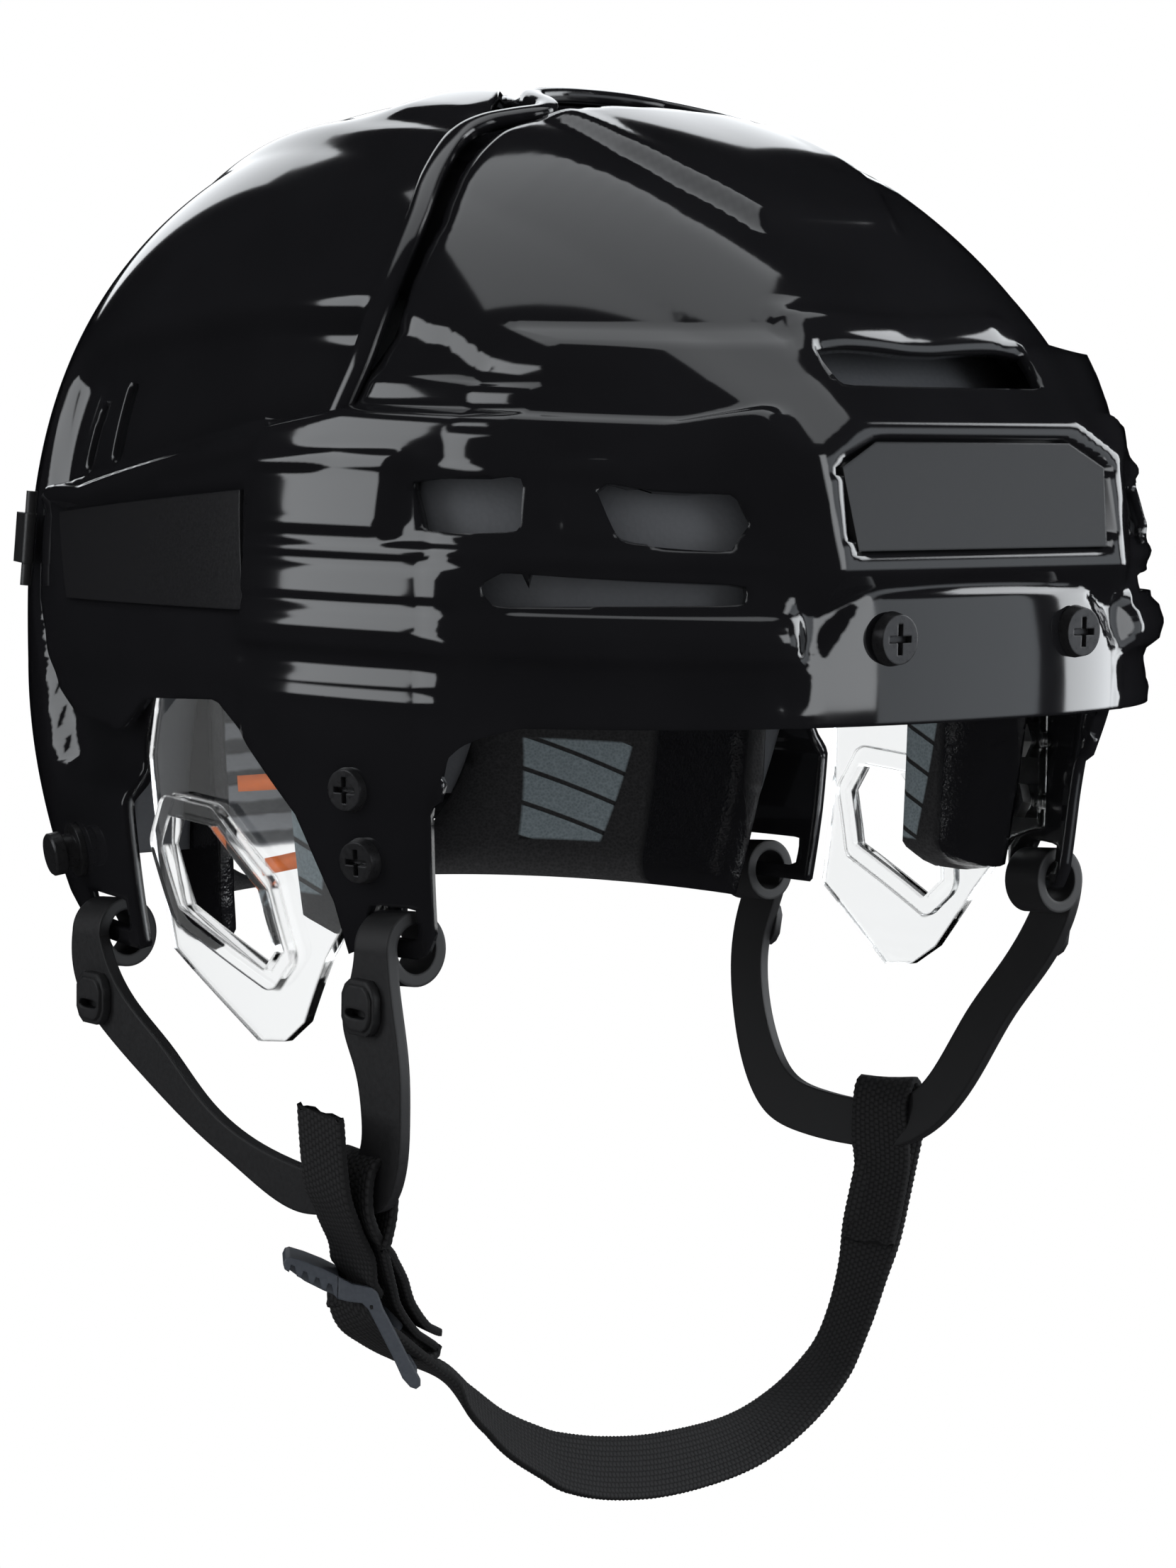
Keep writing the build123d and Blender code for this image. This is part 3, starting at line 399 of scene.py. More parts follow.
def front_form(turn, climb):
    """The front shell's relief: ridges of the side band, brow block, hood, creases and pockets."""
    base = dome(turn, climb)
    x, y, z = abs(base.x), base.y, base.z
    top = straight(y, band_top)
    relief = 0.0
    if z < top + 0.001 and y < 0.08:
        height = z * 1000 if z < 0.046 else 53 - (top - 0.0075 - z) * 1000
        ridge = along(height, band_profile) * ease(top - z, -0.0008, 0.0042)
        valley = ease(z, 0.032, 0.037) * ease(0.0515 - z, 0, 0.005)
        solid = ease(y, -0.052, -0.047) + ease(-y, 0.1035, 0.108)
        slant = y + 0.0855 - (z - 0.041) * 0.55
        solid += ease(0.0075 - abs(slant), 0, 0.0025)
        ridge += valley * min(solid, 1) * 1.8
        low_valley = ease(z, 0.0195, 0.0225) * ease(0.030 - z, 0, 0.003)
        ridge += low_valley * (ease(y, -0.067, -0.060) + ease(-y, 0.1085, 0.112)) * 1.4
        ridge *= ease(x, 0.0445, 0.0495) if y < -0.09 else 1
        flat = 0.9 + 1.6 * ease(0.0035 - abs(top - 0.0045 - z), 0, 0.003)
        flat = flat * ease(top - z, -0.0008, 0.003) * ease(z, -0.002, 0.012)
        share = ease(y, -0.0135, -0.0095)
        relief = ridge * (1 - share) + flat * share
        relief *= ease(z, -0.03, -0.004)
    relief += 0.7 * ease(0.006 - abs(z - 0.0055 + y * 0.02), 0, 0.006) * ease(y, -0.09, -0.07)
    if y < 0.01 and z > 0.07:
        gap = min(math.hypot(x - (a + (c - a) * part / 6), y - (b + (d - b) * part / 6))
                  for (a, b), (c, d) in zip(crown_crease, crown_crease[1:]) for part in range(7))
        relief += 1.7 * max(1 - gap / 0.020, 0)
        relief += 2.5 * ease(-beyond(base.x, y, hood), -0.001, 0.004)
    relief -= 1.0 * ease(-beyond(y, z, horn), 0, 0.0015)
    relief -= 1.4 * ease(-beyond(y, z, side_pocket), -0.0004, 0.0004)
    if z > 0.058:
        seam = beyond(y, z, front_outline)
        relief -= 1.2 * ease(seam, -0.003, 0.0) + (4.6 + relief) * ease(seam, -0.0004, 0.0014)
    if y < -0.06 and x < 0.036 and 0.062 < z < 0.08:
        relief += 2.4 * ease(0.006 - abs(z - 0.0765), 0, 0.005) * ease(0.035 - x, 0, 0.004)
    spot = dome(turn, climb, -relief / 1000)
    if y < -0.06 and z < 0.075:
        plate = ease(-beyond(base.x, z, chin_plate), -0.0002, 0.0014)
        spot.y -= 0.0013 * plate * ease(0.05 - z, 0, 0.01)
        past = beyond(base.x, z - 0.0445, brow_face)
        block = -0.1162 + math.tan(math.radians(11)) * (z - 0.0445) + 0.9 * max(past, 0)
        if beyond(base.x, z - 0.0445, badge_pocket) < 0:
            block += 0.0024
        spot.y = min(spot.y, block)
    return spot


front_turns = spaced(-math.pi - 0.75, 0.75, 0.0019, 0.115)
front_climbs = spaced(-0.68, 0.0, 0.0016, 0.075) + spaced(0.0, 0.34, 0.0009, 0.19)[1:]
front_climbs += spaced(0.34, 1.0, 0.0021, 0.19)[1:]
front_work = wrapped(front_turns, front_climbs, front_outside, front_form)
front_skin = link("front_shell_moulding", front_work, "front", gloss_black)
shell_wall = 0.0027
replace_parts(walled(front_skin, shell_wall), "front_shell")

rear_outline = side_view([(-0.075, 1.2), (-0.075, 0.885), (-0.214, 0.755), (-0.262, 0.63), (-0.245, 0.44),
                          (0.0, 0.32), (0.16, 0.10), (0.225, -0.16), (0.22, -0.53), (0.22, -0.775),
                          (0.40, -0.775), (0.50, -0.70), (0.65, -0.65), (1.2, -0.60), (1.2, 1.2)])
rear_slots = [side_view(shares) for shares in (
    [(0.335, 0.515), (0.37, 0.515), (0.37, 0.37), (0.335, 0.38)],
    [(0.43, 0.485), (0.465, 0.475), (0.485, 0.345), (0.45, 0.355)])]
rear_slots.append([(0.0374, -0.0547), (0.0607, -0.0547), (0.0607, -0.0475), (0.0374, -0.0475)])
ledge = [(-0.040, 0.0825), (0.0008, 0.0825), (0.028, 0.0798), (0.0525, 0.0766), (0.072, 0.0735),
         (0.0855, 0.069)]
panel_back = [(-0.03, 0.064), (-0.0188, 0.072), (0, 0.0775), (0.0131, 0.085), (0.0393, 0.0865),
              (0.069, 0.083)]


def rear_outside(spot):
    """Positive where the rear shell has no wall. Its rim runs further back between the crown humps."""
    back = 0.0135 * ease(0.0205 - abs(spot.x), -0.006, 0.004) if spot.z > 0.1 else 0
    past = beyond(spot.y - back, spot.z, rear_outline)
    for slot in rear_slots:
        past = max(past, -beyond(spot.y, spot.z, slot))
    return past


def rear_form(turn, climb):
    """The rear shell's relief: raised rim, crown humps, ledge and the sunken side panel."""
    base = dome(turn, climb)
    x, y, z = abs(base.x), base.y, base.z
    back = 0.0135 * ease(0.0205 - x, -0.006, 0.004) if z > 0.1 else 0
    rim = -beyond(y - back, z, rear_outline) if y < 0.02 else 1
    sunk = ease(straight(y, ledge) - z, 0.0, 0.006)
    if z < 0.06 or y > 0.05:
        sunk *= ease(straight(z, panel_back) - y, -0.002, 0.003)
        sunk *= ease(z, -0.026, -0.018)
    relief = -5.8 * sunk
    if z > 0.055 and y < 0.02:
        relief *= 1 - ease(0.005 - rim, 0, 0.003)
    if z > 0.08:
        hump = ease(0.016 - abs(x - 0.034), 0, 0.010) * ease(0.030 - abs(y - 0.010), 0, 0.022)
        relief += 2.6 * hump
        relief += 1.3 * ease(0.010 - abs(x - 0.052 + 0.1 * y), 0, 0.010) * ease(z, 0.085, 0.105)
    return dome(turn, climb, -relief / 1000)


rear_turns = spaced(-0.75, math.pi + 0.75, 0.0021, 0.125)
rear_climbs = spaced(-0.80, 0.0, 0.0017, 0.075) + spaced(0.0, 1.0, 0.0016, 0.20)[1:]
rear_work = wrapped(rear_turns, rear_climbs, rear_outside, rear_form)
rear_skin = link("rear_shell_moulding", rear_work, "rear", gloss_black)


def pull(t):
    """How much each of four stops in a row counts, at a share of the way between the middle two."""
    return (-t + 2 * t * t - t ** 3, 2 - 5 * t * t + 3 * t ** 3, t + 4 * t * t - 3 * t ** 3,
            t ** 3 - t * t)


def bead(work, stops, section, gap=0.0008):
    """Add a moulded bead along a smooth line through stops of (turn, climb) on the dome. Its section
    is given in mm across the line and out of the dome."""
    run = []
    for index in range(len(stops) - 1):
        near = [Vector(stops[min(max(index + step, 0), len(stops) - 1)]) for step in (-1, 0, 1, 2)]
        count = max(round((dome(*near[2]) - dome(*near[1])).length / gap), 1)
        for part in range(count):
            weights = pull(part / count)
            run.append(sum((stop * weight / 2 for stop, weight in zip(near, weights)), Vector((0, 0))))
    run.append(Vector(stops[-1]))
    rings = []
    for index, (turn, climb) in enumerate(run):
        spot = dome(turn, climb)
        outward = (dome(turn, climb, -0.002) - spot).normalized()
        ahead = dome(*run[min(index + 1, len(run) - 1)]) - dome(*run[max(index - 1, 0)])
        aside = ahead.cross(outward).normalized()
        rings.append([work.verts.new(spot + aside * x / 1000 + outward * y / 1000) for x, y in section])
    work.faces.new(rings[0][::-1])
    work.faces.new(rings[-1])
    for first, second in zip(rings, rings[1:]):
        for point in range(len(section)):
            after = (point + 1) % len(section)
            work.faces.new((first[point], first[after], second[after], second[point]))
    bmesh.ops.recalc_face_normals(work, faces=work.faces)


rim_section = [(-2.4, -0.4), (-2.4, 1.2), (-2.2, 1.8), (-1.6, 2.2), (0.0, 2.4), (1.5, 2.2), (2.2, 1.7),
               (2.6, 0.9), (2.9, -0.6), (2.9, -2.0)]
half_rim = [(-0.5015, 0.2812), (-0.5481, 0.3475), (-0.5716, 0.3970), (-0.6010, 0.4722), (-0.6262, 0.5432),
            (-0.6360, 0.6259), (-0.6670, 0.7024), (-0.7388, 0.7406), (-0.8557, 0.7620), (-0.9610, 0.7780),
            (-0.9962, 0.8047), (-0.9577, 0.8418), (-0.9822, 0.8667), (-1.2109, 0.8895), (-1.5708, 0.8962)]
whole_rim = half_rim + [(-math.pi - turn, climb) for turn, climb in half_rim[-2::-1]]
work = bmesh.new()
bead(work, whole_rim, rim_section)
rim_bead = link("rear_shell_rim", work, "rear", gloss_black)
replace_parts(walled(rear_skin, shell_wall), "rear_shell")
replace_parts(rim_bead, "rear_shell")

# The brow plate and the two side plates: bare badge plates of gloss black plastic with a finely
# grained face, pressed into their recesses in the front shell.
grained_black, shader, place = finish("grained plate", 0.2, 0.1)
shader.inputs["Specular IOR Level"].default_value = 0.3
grain = place.noise(1800.0, 2.0)
feed(shader, "Base Color", grain.blend((0.006, 0.006, 0.0065, 1), (0.011, 0.011, 0.012, 1)))
feed(shader, "Roughness", grain * 0.1 + 0.16)
feed(shader, "Normal", rounded(place, 0.0006, grain, 0.0001, 0.12))
recast("brow_plate", "brow_badge_plate", "front", grained_black)
recast("right_side_plate", "right_badge_plate", "front", grained_black)
recast("left_side_plate", "left_badge_plate", "front", grained_black)

# The screws: pan heads with a cross recess, black oxide on steel. Two on the brow hold a visor, two
# on each side hold the ear guard. Their plain steel nuts sit behind the shell.
black_oxide, shader, place = finish("black oxide steel", 0.3)
shader.inputs["Metallic"].default_value = 0.6
rubbed = place.noise(900.0, 4.0)
feed(shader, "Base Color", rubbed.blend((0.012, 0.012, 0.013, 1), (0.03, 0.03, 0.032, 1)))
feed(shader, "Roughness", rubbed * 0.2 + 0.2)
feed(shader, "Normal", rounded(place, 0.0005, rubbed, 0.0001, 0.1))
zinc, shader, place = finish("zinc plated nut", 0.35)
shader.inputs["Metallic"].default_value = 1.0
plating = place.noise(700.0, 3.0)
feed(shader, "Base Color", plating.blend((0.5, 0.5, 0.5, 1), (0.62, 0.62, 0.6, 1)))
feed(shader, "Roughness", plating * 0.2 + 0.25)
for side in ("right", "left"):
    for seat in ("brow_screw", "guard_screw_upper", "guard_screw_lower"):
        recast(side + "_" + seat, side + "_" + seat + "_head", "front", black_oxide)
        nut_name = side + "_" + seat.replace("screw", "nut")
        recast(nut_name, nut_name + "_hex", "front", zinc)
    recast(side + "_cage_stud", side + "_cage_stud_turned", "rear", black_oxide)
    recast(side + "_stud_nut", side + "_stud_nut_hex", "rear", zinc)

# The ear guards: clear polycarbonate, 2.4 mm, with a raised rim round the ear window.
clear, shader, place = finish("clear polycarbonate", 0.03)
shader.inputs["Transmission Weight"].default_value = 1.0
shader.inputs["IOR"].default_value = 1.45
shader.inputs["Base Color"].default_value = (0.95, 0.965, 0.97, 1)
haze = place.noise(60.0, 3.0)
feed(shader, "Roughness", haze * 0.05 + 0.015)
feed(shader, "Normal", rounded(place, 0.001, place.noise(120.0, 2.0), 0.0002, 0.08))
for side in ("right", "left"):
    recast(side + "_ear_guard", side + "_clear_guard", "front", clear)

# The foam liner: closed cell foam in two blocks, dark grey and matt with a skin of fine cells.
foam, shader, place = finish("closed cell foam", 0.75)
cells = place.make("ShaderNodeTexVoronoi", {}, {"Vector": place, "Scale": 900.0})
feed(shader, "Base Color", place.noise(25.0).blend((0.05, 0.053, 0.06, 1), (0.085, 0.09, 0.1, 1)))
feed(shader, "Roughness", cells * 0.15 + 0.6)
feed(shader, "Normal", rounded(place, 0.002, cells, 0.0002, 0.25))
recast("front_liner", "front_foam", "front", foam)
recast("rear_liner", "rear_foam", "rear", foam)

# The comfort pads: soft foam in a black knitted skin, thickest away from their edges. The side and
# temple pads have a blue grey panel with slanted black lines and a glossy moulded stretch in front of
# it, and the pad at the back of the head has light and dark ribs.
def pad_skin(name):
    """A knitted skin, with wires for the place along Y and Z and for the knit."""
    material, shader, place = finish(name, 0.8)
    shader.inputs["Specular IOR Level"].default_value = 0.3
    back_wise = place.make("ShaderNodeSeparateXYZ", {}, {0: place}, 1)
    up_wise = place.make("ShaderNodeSeparateXYZ", {}, {0: place}, 2)
    loops = place.make("ShaderNodeTexVoronoi", {}, {"Vector": place, "Scale": 1400.0})
    return material, shader, place, back_wise, up_wise, loops


def panelled(name, low, high, top, bottom, glossy):
    """A pad's skin with its panel between two places along Y and two heights, its glossy stretch."""
    material, shader, place, back_wise, up_wise, loops = pad_skin(name)
    narrowing = (up_wise - top) * 0.18
    panel = back_wise.within(low - narrowing, high + narrowing) * up_wise.within(bottom, top)
    line = ((up_wise - back_wise * 0.35) * 125.0).shaped("FRACT").within(0.0, 0.14, 0.02)
    cover = loops.blend((0.012, 0.012, 0.013, 1), (0.028, 0.028, 0.03, 1))
    cloth = loops.blend((0.12, 0.15, 0.165, 1), (0.20, 0.24, 0.26, 1))
    marked = (panel - panel * line).blend(cover, cloth)
    shiny = back_wise.within(glossy[0], glossy[1], 0.001)
    lumps = place.noise(260.0, 4.0)
    feed(shader, "Base Color", shiny.blend(marked, (0.006, 0.006, 0.007, 1)))
    feed(shader, "Roughness", 0.8 - shiny * 0.62)
    height = loops * 0.25 + shiny * lumps * 1.6 - panel * line * 1.2
    feed(shader, "Normal", rounded(place, 0.002, height, 0.0006, 0.6))
    return material


side_skin = panelled("side pad skin", 0.066, 0.092, -0.024, -0.049, (0.033, 0.060))
temple_skin = panelled("temple pad skin", -0.028, -0.010, -0.012, -0.040, (-0.046, -0.030))
ribbed_skin, shader, place, back_wise, up_wise, loops = pad_skin("ribbed pad skin")
rib_pitch = 0.0075
rib = (up_wise * (2 * math.pi / rib_pitch)).shaped("SINE").within(-0.15, 2.0, 0.25)
feed(shader, "Base Color", (rib * 0.8 + loops * 0.2).blend((0.03, 0.032, 0.036, 1), (0.30, 0.31, 0.33, 1)))
feed(shader, "Normal", rounded(place, 0.001, rib + loops * 0.2, 0.0012, 0.7))
knit, shader, place, back_wise, up_wise, loops = pad_skin("black knit")
feed(shader, "Base Color", loops.blend((0.012, 0.012, 0.013, 1), (0.03, 0.03, 0.032, 1)))
feed(shader, "Normal", rounded(place, 0.002, loops, 0.0002, 0.3))


def cushion(name, node, body, shares, turns, climbs, back, height, material):
    """A crowned pad inside a side-view outline, its back at a depth of the dome."""
    outline = side_view(shares)

    def swollen(turn, climb):
        spot = dome(turn, climb, back)
        inside = min(max(-beyond(spot.y, spot.z, outline) / 0.009, 0), 1)
        return dome(turn, climb, back + height * math.sqrt(1 - (1 - inside) ** 2))

    work = wrapped(spaced(*turns, 0.0022, 0.09), spaced(*climbs, 0.0022, 0.12),
                   lambda spot: beyond(spot.y, spot.z, outline), swollen, back,
                   lambda turn, climb: dome(turn, climb, back))
    bmesh.ops.recalc_face_normals(work, faces=work.faces)
    piece = link(name, work, body, material)
    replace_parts(piece, node)


liner_depth, pad_height = 0.024, 0.0066
guard_depth, temple_height = 0.0093, 0.0142
cushion("forehead_pad_cushion", "forehead_pad", "front",
        [(-1.2, 0.04), (-0.46, 0.04), (-0.46, 0.26), (-1.2, 0.28)],
        (-math.pi + 0.2, -0.2), (-0.05, 0.5), liner_depth, pad_height, knit)
cushion("crown_pad_cushion", "crown_pad", "front",
        [(-0.35, 0.70), (0.07, 0.70), (0.07, 1.2), (-0.35, 1.2)],
        (0, 2 * math.pi), (0.5, 1.0), liner_depth, pad_height, knit)
cushion("occipital_pad_cushion", "occipital_pad", "rear",
        [(0.735, 0.05), (1.2, 0.05), (1.2, -0.62), (0.735, -0.66)],
        (0.5, math.pi - 0.5), (-0.75, 0.2), liner_depth, pad_height, ribbed_skin)
for side, mirrored in (("left", False), ("right", True)):
    for node, body, shares, turns, back, height, material in (
            ("_temple_pad", "front", [(-0.40, -0.02), (-0.12, -0.02), (-0.14, -0.60), (-0.22, -0.64),
                                      (-0.36, -0.60)],
             (-1.2, 0.1), guard_depth, temple_height, temple_skin),
            ("_side_pad", "rear", [(0.22, 0.05), (0.70, 0.12), (0.70, -0.78), (0.24, -0.80), (0.21, -0.40)],
             (-0.1, 1.5), liner_depth, pad_height, side_skin)):
        if mirrored:
            turns = (math.pi - turns[1], math.pi - turns[0])
        cushion(side + node + "_cushion", side + node, body, shares, turns, (-0.9, 0.2), back, height,
                material)

# The pull tabs of the right temple pad: two short strips of orange nylon, sewn into the pad and
# running back behind the clear guard.
nylon, shader, place = finish("orange nylon", 0.5)
fibre = place.noise(1500.0, 3.0)
feed(shader, "Base Color", fibre.blend((0.62, 0.11, 0.01, 1), (0.85, 0.19, 0.02, 1)))
feed(shader, "Normal", rounded(place, 0.0004, fibre, 0.0001, 0.3))
tab_thickness, tab_width = 0.0009, 0.0034
work = bmesh.new()
for sewn_end, free_end in ((Vector((-0.0925, -0.0190, -0.0165)), Vector((-0.0945, 0.0060, -0.0196))),
                           (Vector((-0.0925, -0.0200, -0.0322)), Vector((-0.0940, -0.0035, -0.0362)))):
    strip = bmesh.ops.create_cube(work, size=1)["verts"]
    run = free_end - sewn_end
    turned = run.to_track_quat("Y", "Z").to_matrix().to_4x4()
    bmesh.ops.transform(work, verts=strip, matrix=Matrix.Translation(sewn_end + run / 2) @ turned
                        @ Matrix.Diagonal((tab_thickness, run.length, tab_width, 1)))
for edge in work.edges:
    edge.smooth = False
link("right_pull_tabs", work, "front", nylon)

# The size levers: black plastic, each on its pin between the horns of the front shell.
satin_black, shader, place = finish("satin black plastic", 0.35)
mottle = place.noise(500.0, 4.0)
feed(shader, "Base Color", mottle.blend((0.008, 0.008, 0.0085, 1), (0.014, 0.014, 0.015, 1)))
feed(shader, "Roughness", mottle * 0.15 + 0.28)
feed(shader, "Normal", rounded(place, 0.0007, mottle, 0.0001, 0.15))
recast("right_size_lever", "right_lock_lever", "right_lever", satin_black)
recast("left_size_lever", "left_lock_lever", "left_lever", satin_black)

# The ear loops: flat bands of soft black plastic that hang on the bars of the tabs, with clips.
soft_black, shader, place = finish("soft black plastic", 0.42)
skin = place.noise(1100.0, 3.0)
feed(shader, "Base Color", skin.blend((0.006, 0.006, 0.0065, 1), (0.011, 0.011, 0.012, 1)))
feed(shader, "Roughness", skin * 0.15 + 0.42)
shader.inputs["Specular IOR Level"].default_value = 0.4
feed(shader, "Normal", rounded(place, 0.0009, skin, 0.0001, 0.2))


def plate(work, centre, aside, upward, outer, inner, low, high):
    """Add a flat plate with a hole. Its two outlines, in mm, have as many points as each other."""
    outward = aside.cross(upward)
    rings = [[work.verts.new(centre + (aside * x + upward * y) / 1000 + outward * level) for x, y in points]
             for points, level in ((outer, low), (outer, high), (inner, high), (inner, low))]
    for first, second in zip(rings, rings[1:] + rings[:1]):
        for index in range(len(outer)):
            after = (index + 1) % len(outer)
            work.faces.new((first[index], first[after], second[after], second[index]))


clip_edge = [(0, 5.6), (2.6, 5.6), (4.2, 4.4), (5.2, 2.4), (5.2, 0), (5.2, -2.4), (4.2, -4.4), (2.6, -5.6),
             (0, -5.6), (-2.6, -5.6), (-4.2, -4.4), (-5.2, -2.4), (-5.2, 0), (-5.2, 2.4), (-4.2, 4.4),
             (-2.6, 5.6)]
clip_slit = [(0, -0.2), (1.6, -0.2), (2.9, -0.4), (3.4, -0.8), (3.5, -1.2), (3.4, -1.6), (2.9, -2.0),
             (1.6, -2.2), (0, -2.2), (-1.6, -2.2), (-2.9, -2.0), (-3.4, -1.6), (-3.5, -1.2), (-3.4, -0.8),
             (-2.9, -0.4), (-1.6, -0.2)]
for side, hand, tilt in (("right", -1, 0), ("left", 1, 9)):
    recast(side + "_ear_loop", side + "_loop_band", side + "_loop", soft_black)
    aside = Vector((hand * 0.0203, 0.9998, 0)) * hand
    upward = Vector((hand * math.sin(math.radians(tilt)), 0, math.cos(math.radians(tilt))))
    upward = (upward - aside * upward.dot(aside)).normalized()
    for seat in ("_front", "_rear"):
        corners = [Vector(vert.co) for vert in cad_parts[side + seat + "_button"].data.vertices]
        centre = sum(corners, Vector()) / len(corners)
        work = bmesh.new()
        plate(work, centre, aside, upward, clip_edge, clip_slit, -0.0013, 0.0007)
        plate(work, centre, aside, upward, [(x * 0.82, y * 0.82) for x, y in clip_edge],
              [(x * 0.95, y * 0.95) for x, y in clip_slit], 0.0007, 0.0013)
        bmesh.ops.recalc_face_normals(work, faces=work.faces)
        creased(work)
        clip = link(side + seat + "_clip", work, side + "_loop", soft_black)
        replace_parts(clip, side + seat + "_button")

# The buckle: a lever buckle of dark blue grey plastic for 15 mm webbing. A thumb plate with four grip
# grooves runs into two side arms, with a bar between them at the bend and one at their ends.
slate, shader, place = finish("slate buckle plastic", 0.42)
speck = place.noise(1500.0, 3.0)
feed(shader, "Base Color", speck.blend((0.028, 0.033, 0.042, 1), (0.045, 0.052, 0.064, 1)))
feed(shader, "Roughness", speck * 0.15 + 0.36)
feed(shader, "Normal", rounded(place, 0.0007, speck, 0.0001, 0.2))
buckle_centre = Vector((-0.0929, -0.0388, -0.1211))
buckle_right = Vector((0.757, -0.653, 0.017))
buckle_up = Vector((0.055, 0.090, 0.994))
buckle_axis = Vector((-0.575, -0.802, 0.103)).normalized()


def prism(work, outline, low, high):
    """Add the buckle's outline, in mm to the right and up, drawn out along the buckle's axis."""
    rings = []
    for depth in (low, high):
        rings.append([work.verts.new(buckle_centre + buckle_right * x / 1000 + buckle_up * y / 1000
                                     + buckle_axis * depth) for x, y in outline])
    work.faces.new(rings[1])
    work.faces.new(rings[0][::-1])
    for index in range(len(outline)):
        after = (index + 1) % len(outline)
        work.faces.new((rings[0][index], rings[0][after], rings[1][after], rings[1][index]))


thumb = [(-7.2, 4.4), (-10.4, 6.0), (-14.2, 7.5), (-17.2, 8.4), (-18.1, 8.1), (-18.6, 7.0), (-18.3, 5.9)]
for groove in range(4):
    start = -17.4 + groove * 2.5
    edge = 5.3 - groove * 1.25
    thumb += [(start, edge), (start + 0.5, edge + 1.5), (start + 1.2, edge + 1.2)]
    thumb += [(start + 1.6, edge - 0.8)]
thumb += [(-7.4, -0.2)]
core = [(-7.2, 4.0), (-10.4, 5.6), (-14.2, 7.1), (-17.6, 7.9), (-18.0, 6.2), (-14.2, 3.4), (-10.4, 1.5),
        (-7.2, 0.2)]
side_arm = [(-7.6, 4.5), (-4.6, 2.9), (-1.9, 2.4), (-0.3, 2.1), (0.7, 1.0), (1.9, -2.3), (4.4, -7.0),
            (7.0, -12.2), (9.4, -16.6), (9.4, -17.8), (8.5, -18.5), (7.3, -18.1), (5.7, -16.3),
            (3.7, -11.9), (1.2, -7.0), (-1.2, -2.3), (-2.5, -1.0), (-5.3, -0.7), (-7.6, -0.1)]
turns = [step * math.pi / 6 for step in range(12)]
bent_bar = [(-1.6 + 1.5 * math.cos(turn), 0.6 + 1.3 * math.sin(turn)) for turn in turns]
end_bar = [(7.8 + 1.3 * math.cos(turn), -16.8 + 1.3 * math.sin(turn)) for turn in turns]
arm_outside, arm_inside, bar_end = 0.0088, 0.0066, 0.0070
work = bmesh.new()
prism(work, thumb, -0.0082, arm_outside)
prism(work, core, -0.0082, 0.0080)
prism(work, side_arm, arm_inside, arm_outside)
prism(work, side_arm, -arm_outside, -arm_inside)
prism(work, bent_bar, -bar_end, bar_end)
prism(work, end_bar, -bar_end, bar_end)
boss = bmesh.ops.create_uvsphere(work, u_segments=20, v_segments=12, radius=1)["verts"]
turned = Matrix((buckle_right, buckle_up, buckle_axis)).transposed().to_4x4()
bmesh.ops.transform(work, verts=boss, matrix=Matrix.Translation(buckle_centre + buckle_right * 0.0042
                    - buckle_up * 0.0055 - buckle_axis * 0.004) @ turned
                    @ Matrix.Rotation(0.42, 4, "Z") @ Matrix.Diagonal((0.0019, 0.0034, 0.0016, 1)))
bmesh.ops.recalc_face_normals(work, faces=work.faces)
creased(work)
buckle = link("lever_buckle", work, "strap", slate)
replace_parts(buckle, "buckle")

# The chin strap and the anchor strap: black polyester webbing, 15 mm wide and 1.7 mm thick, with full
# selvedges. The chin strap is sewn back on itself round the left loop and its cut end hangs up free.
webbing, shader, place = finish("woven webbing", 0.85)
shader.inputs["Specular IOR Level"].default_value = 0.25
weave = place.make("ShaderNodeUVMap", {"uv_map": "weave"}, {})
length_wise = weave.make("ShaderNodeSeparateXYZ", {}, {0: weave}, 0)
across_wise = weave.make("ShaderNodeSeparateXYZ", {}, {0: weave}, 1)
end_count, pick_count = 800.0, 690.0
column = (across_wise * end_count).shaped("FLOOR")
row_wave = ((length_wise * pick_count + column * 0.5) * math.pi).shaped("SINE").shaped("ABSOLUTE")
column_wave = (across_wise * (end_count * math.pi)).shaped("SINE").shaped("ABSOLUTE")
yarn = row_wave.shaped("POWER", 0.6) * column_wave.shaped("POWER", 0.5)
fuzz = place.noise(2600.0, 2.0)
feed(shader, "Base Color", (yarn * 0.7 + fuzz * 0.3).blend((0.0025, 0.0025, 0.0027, 1),
                                                            (0.014, 0.014, 0.015, 1)))
feed(shader, "Normal", rounded(place, 0.0003, yarn * 0.8 + fuzz * 0.3, 0.0005, 0.6))


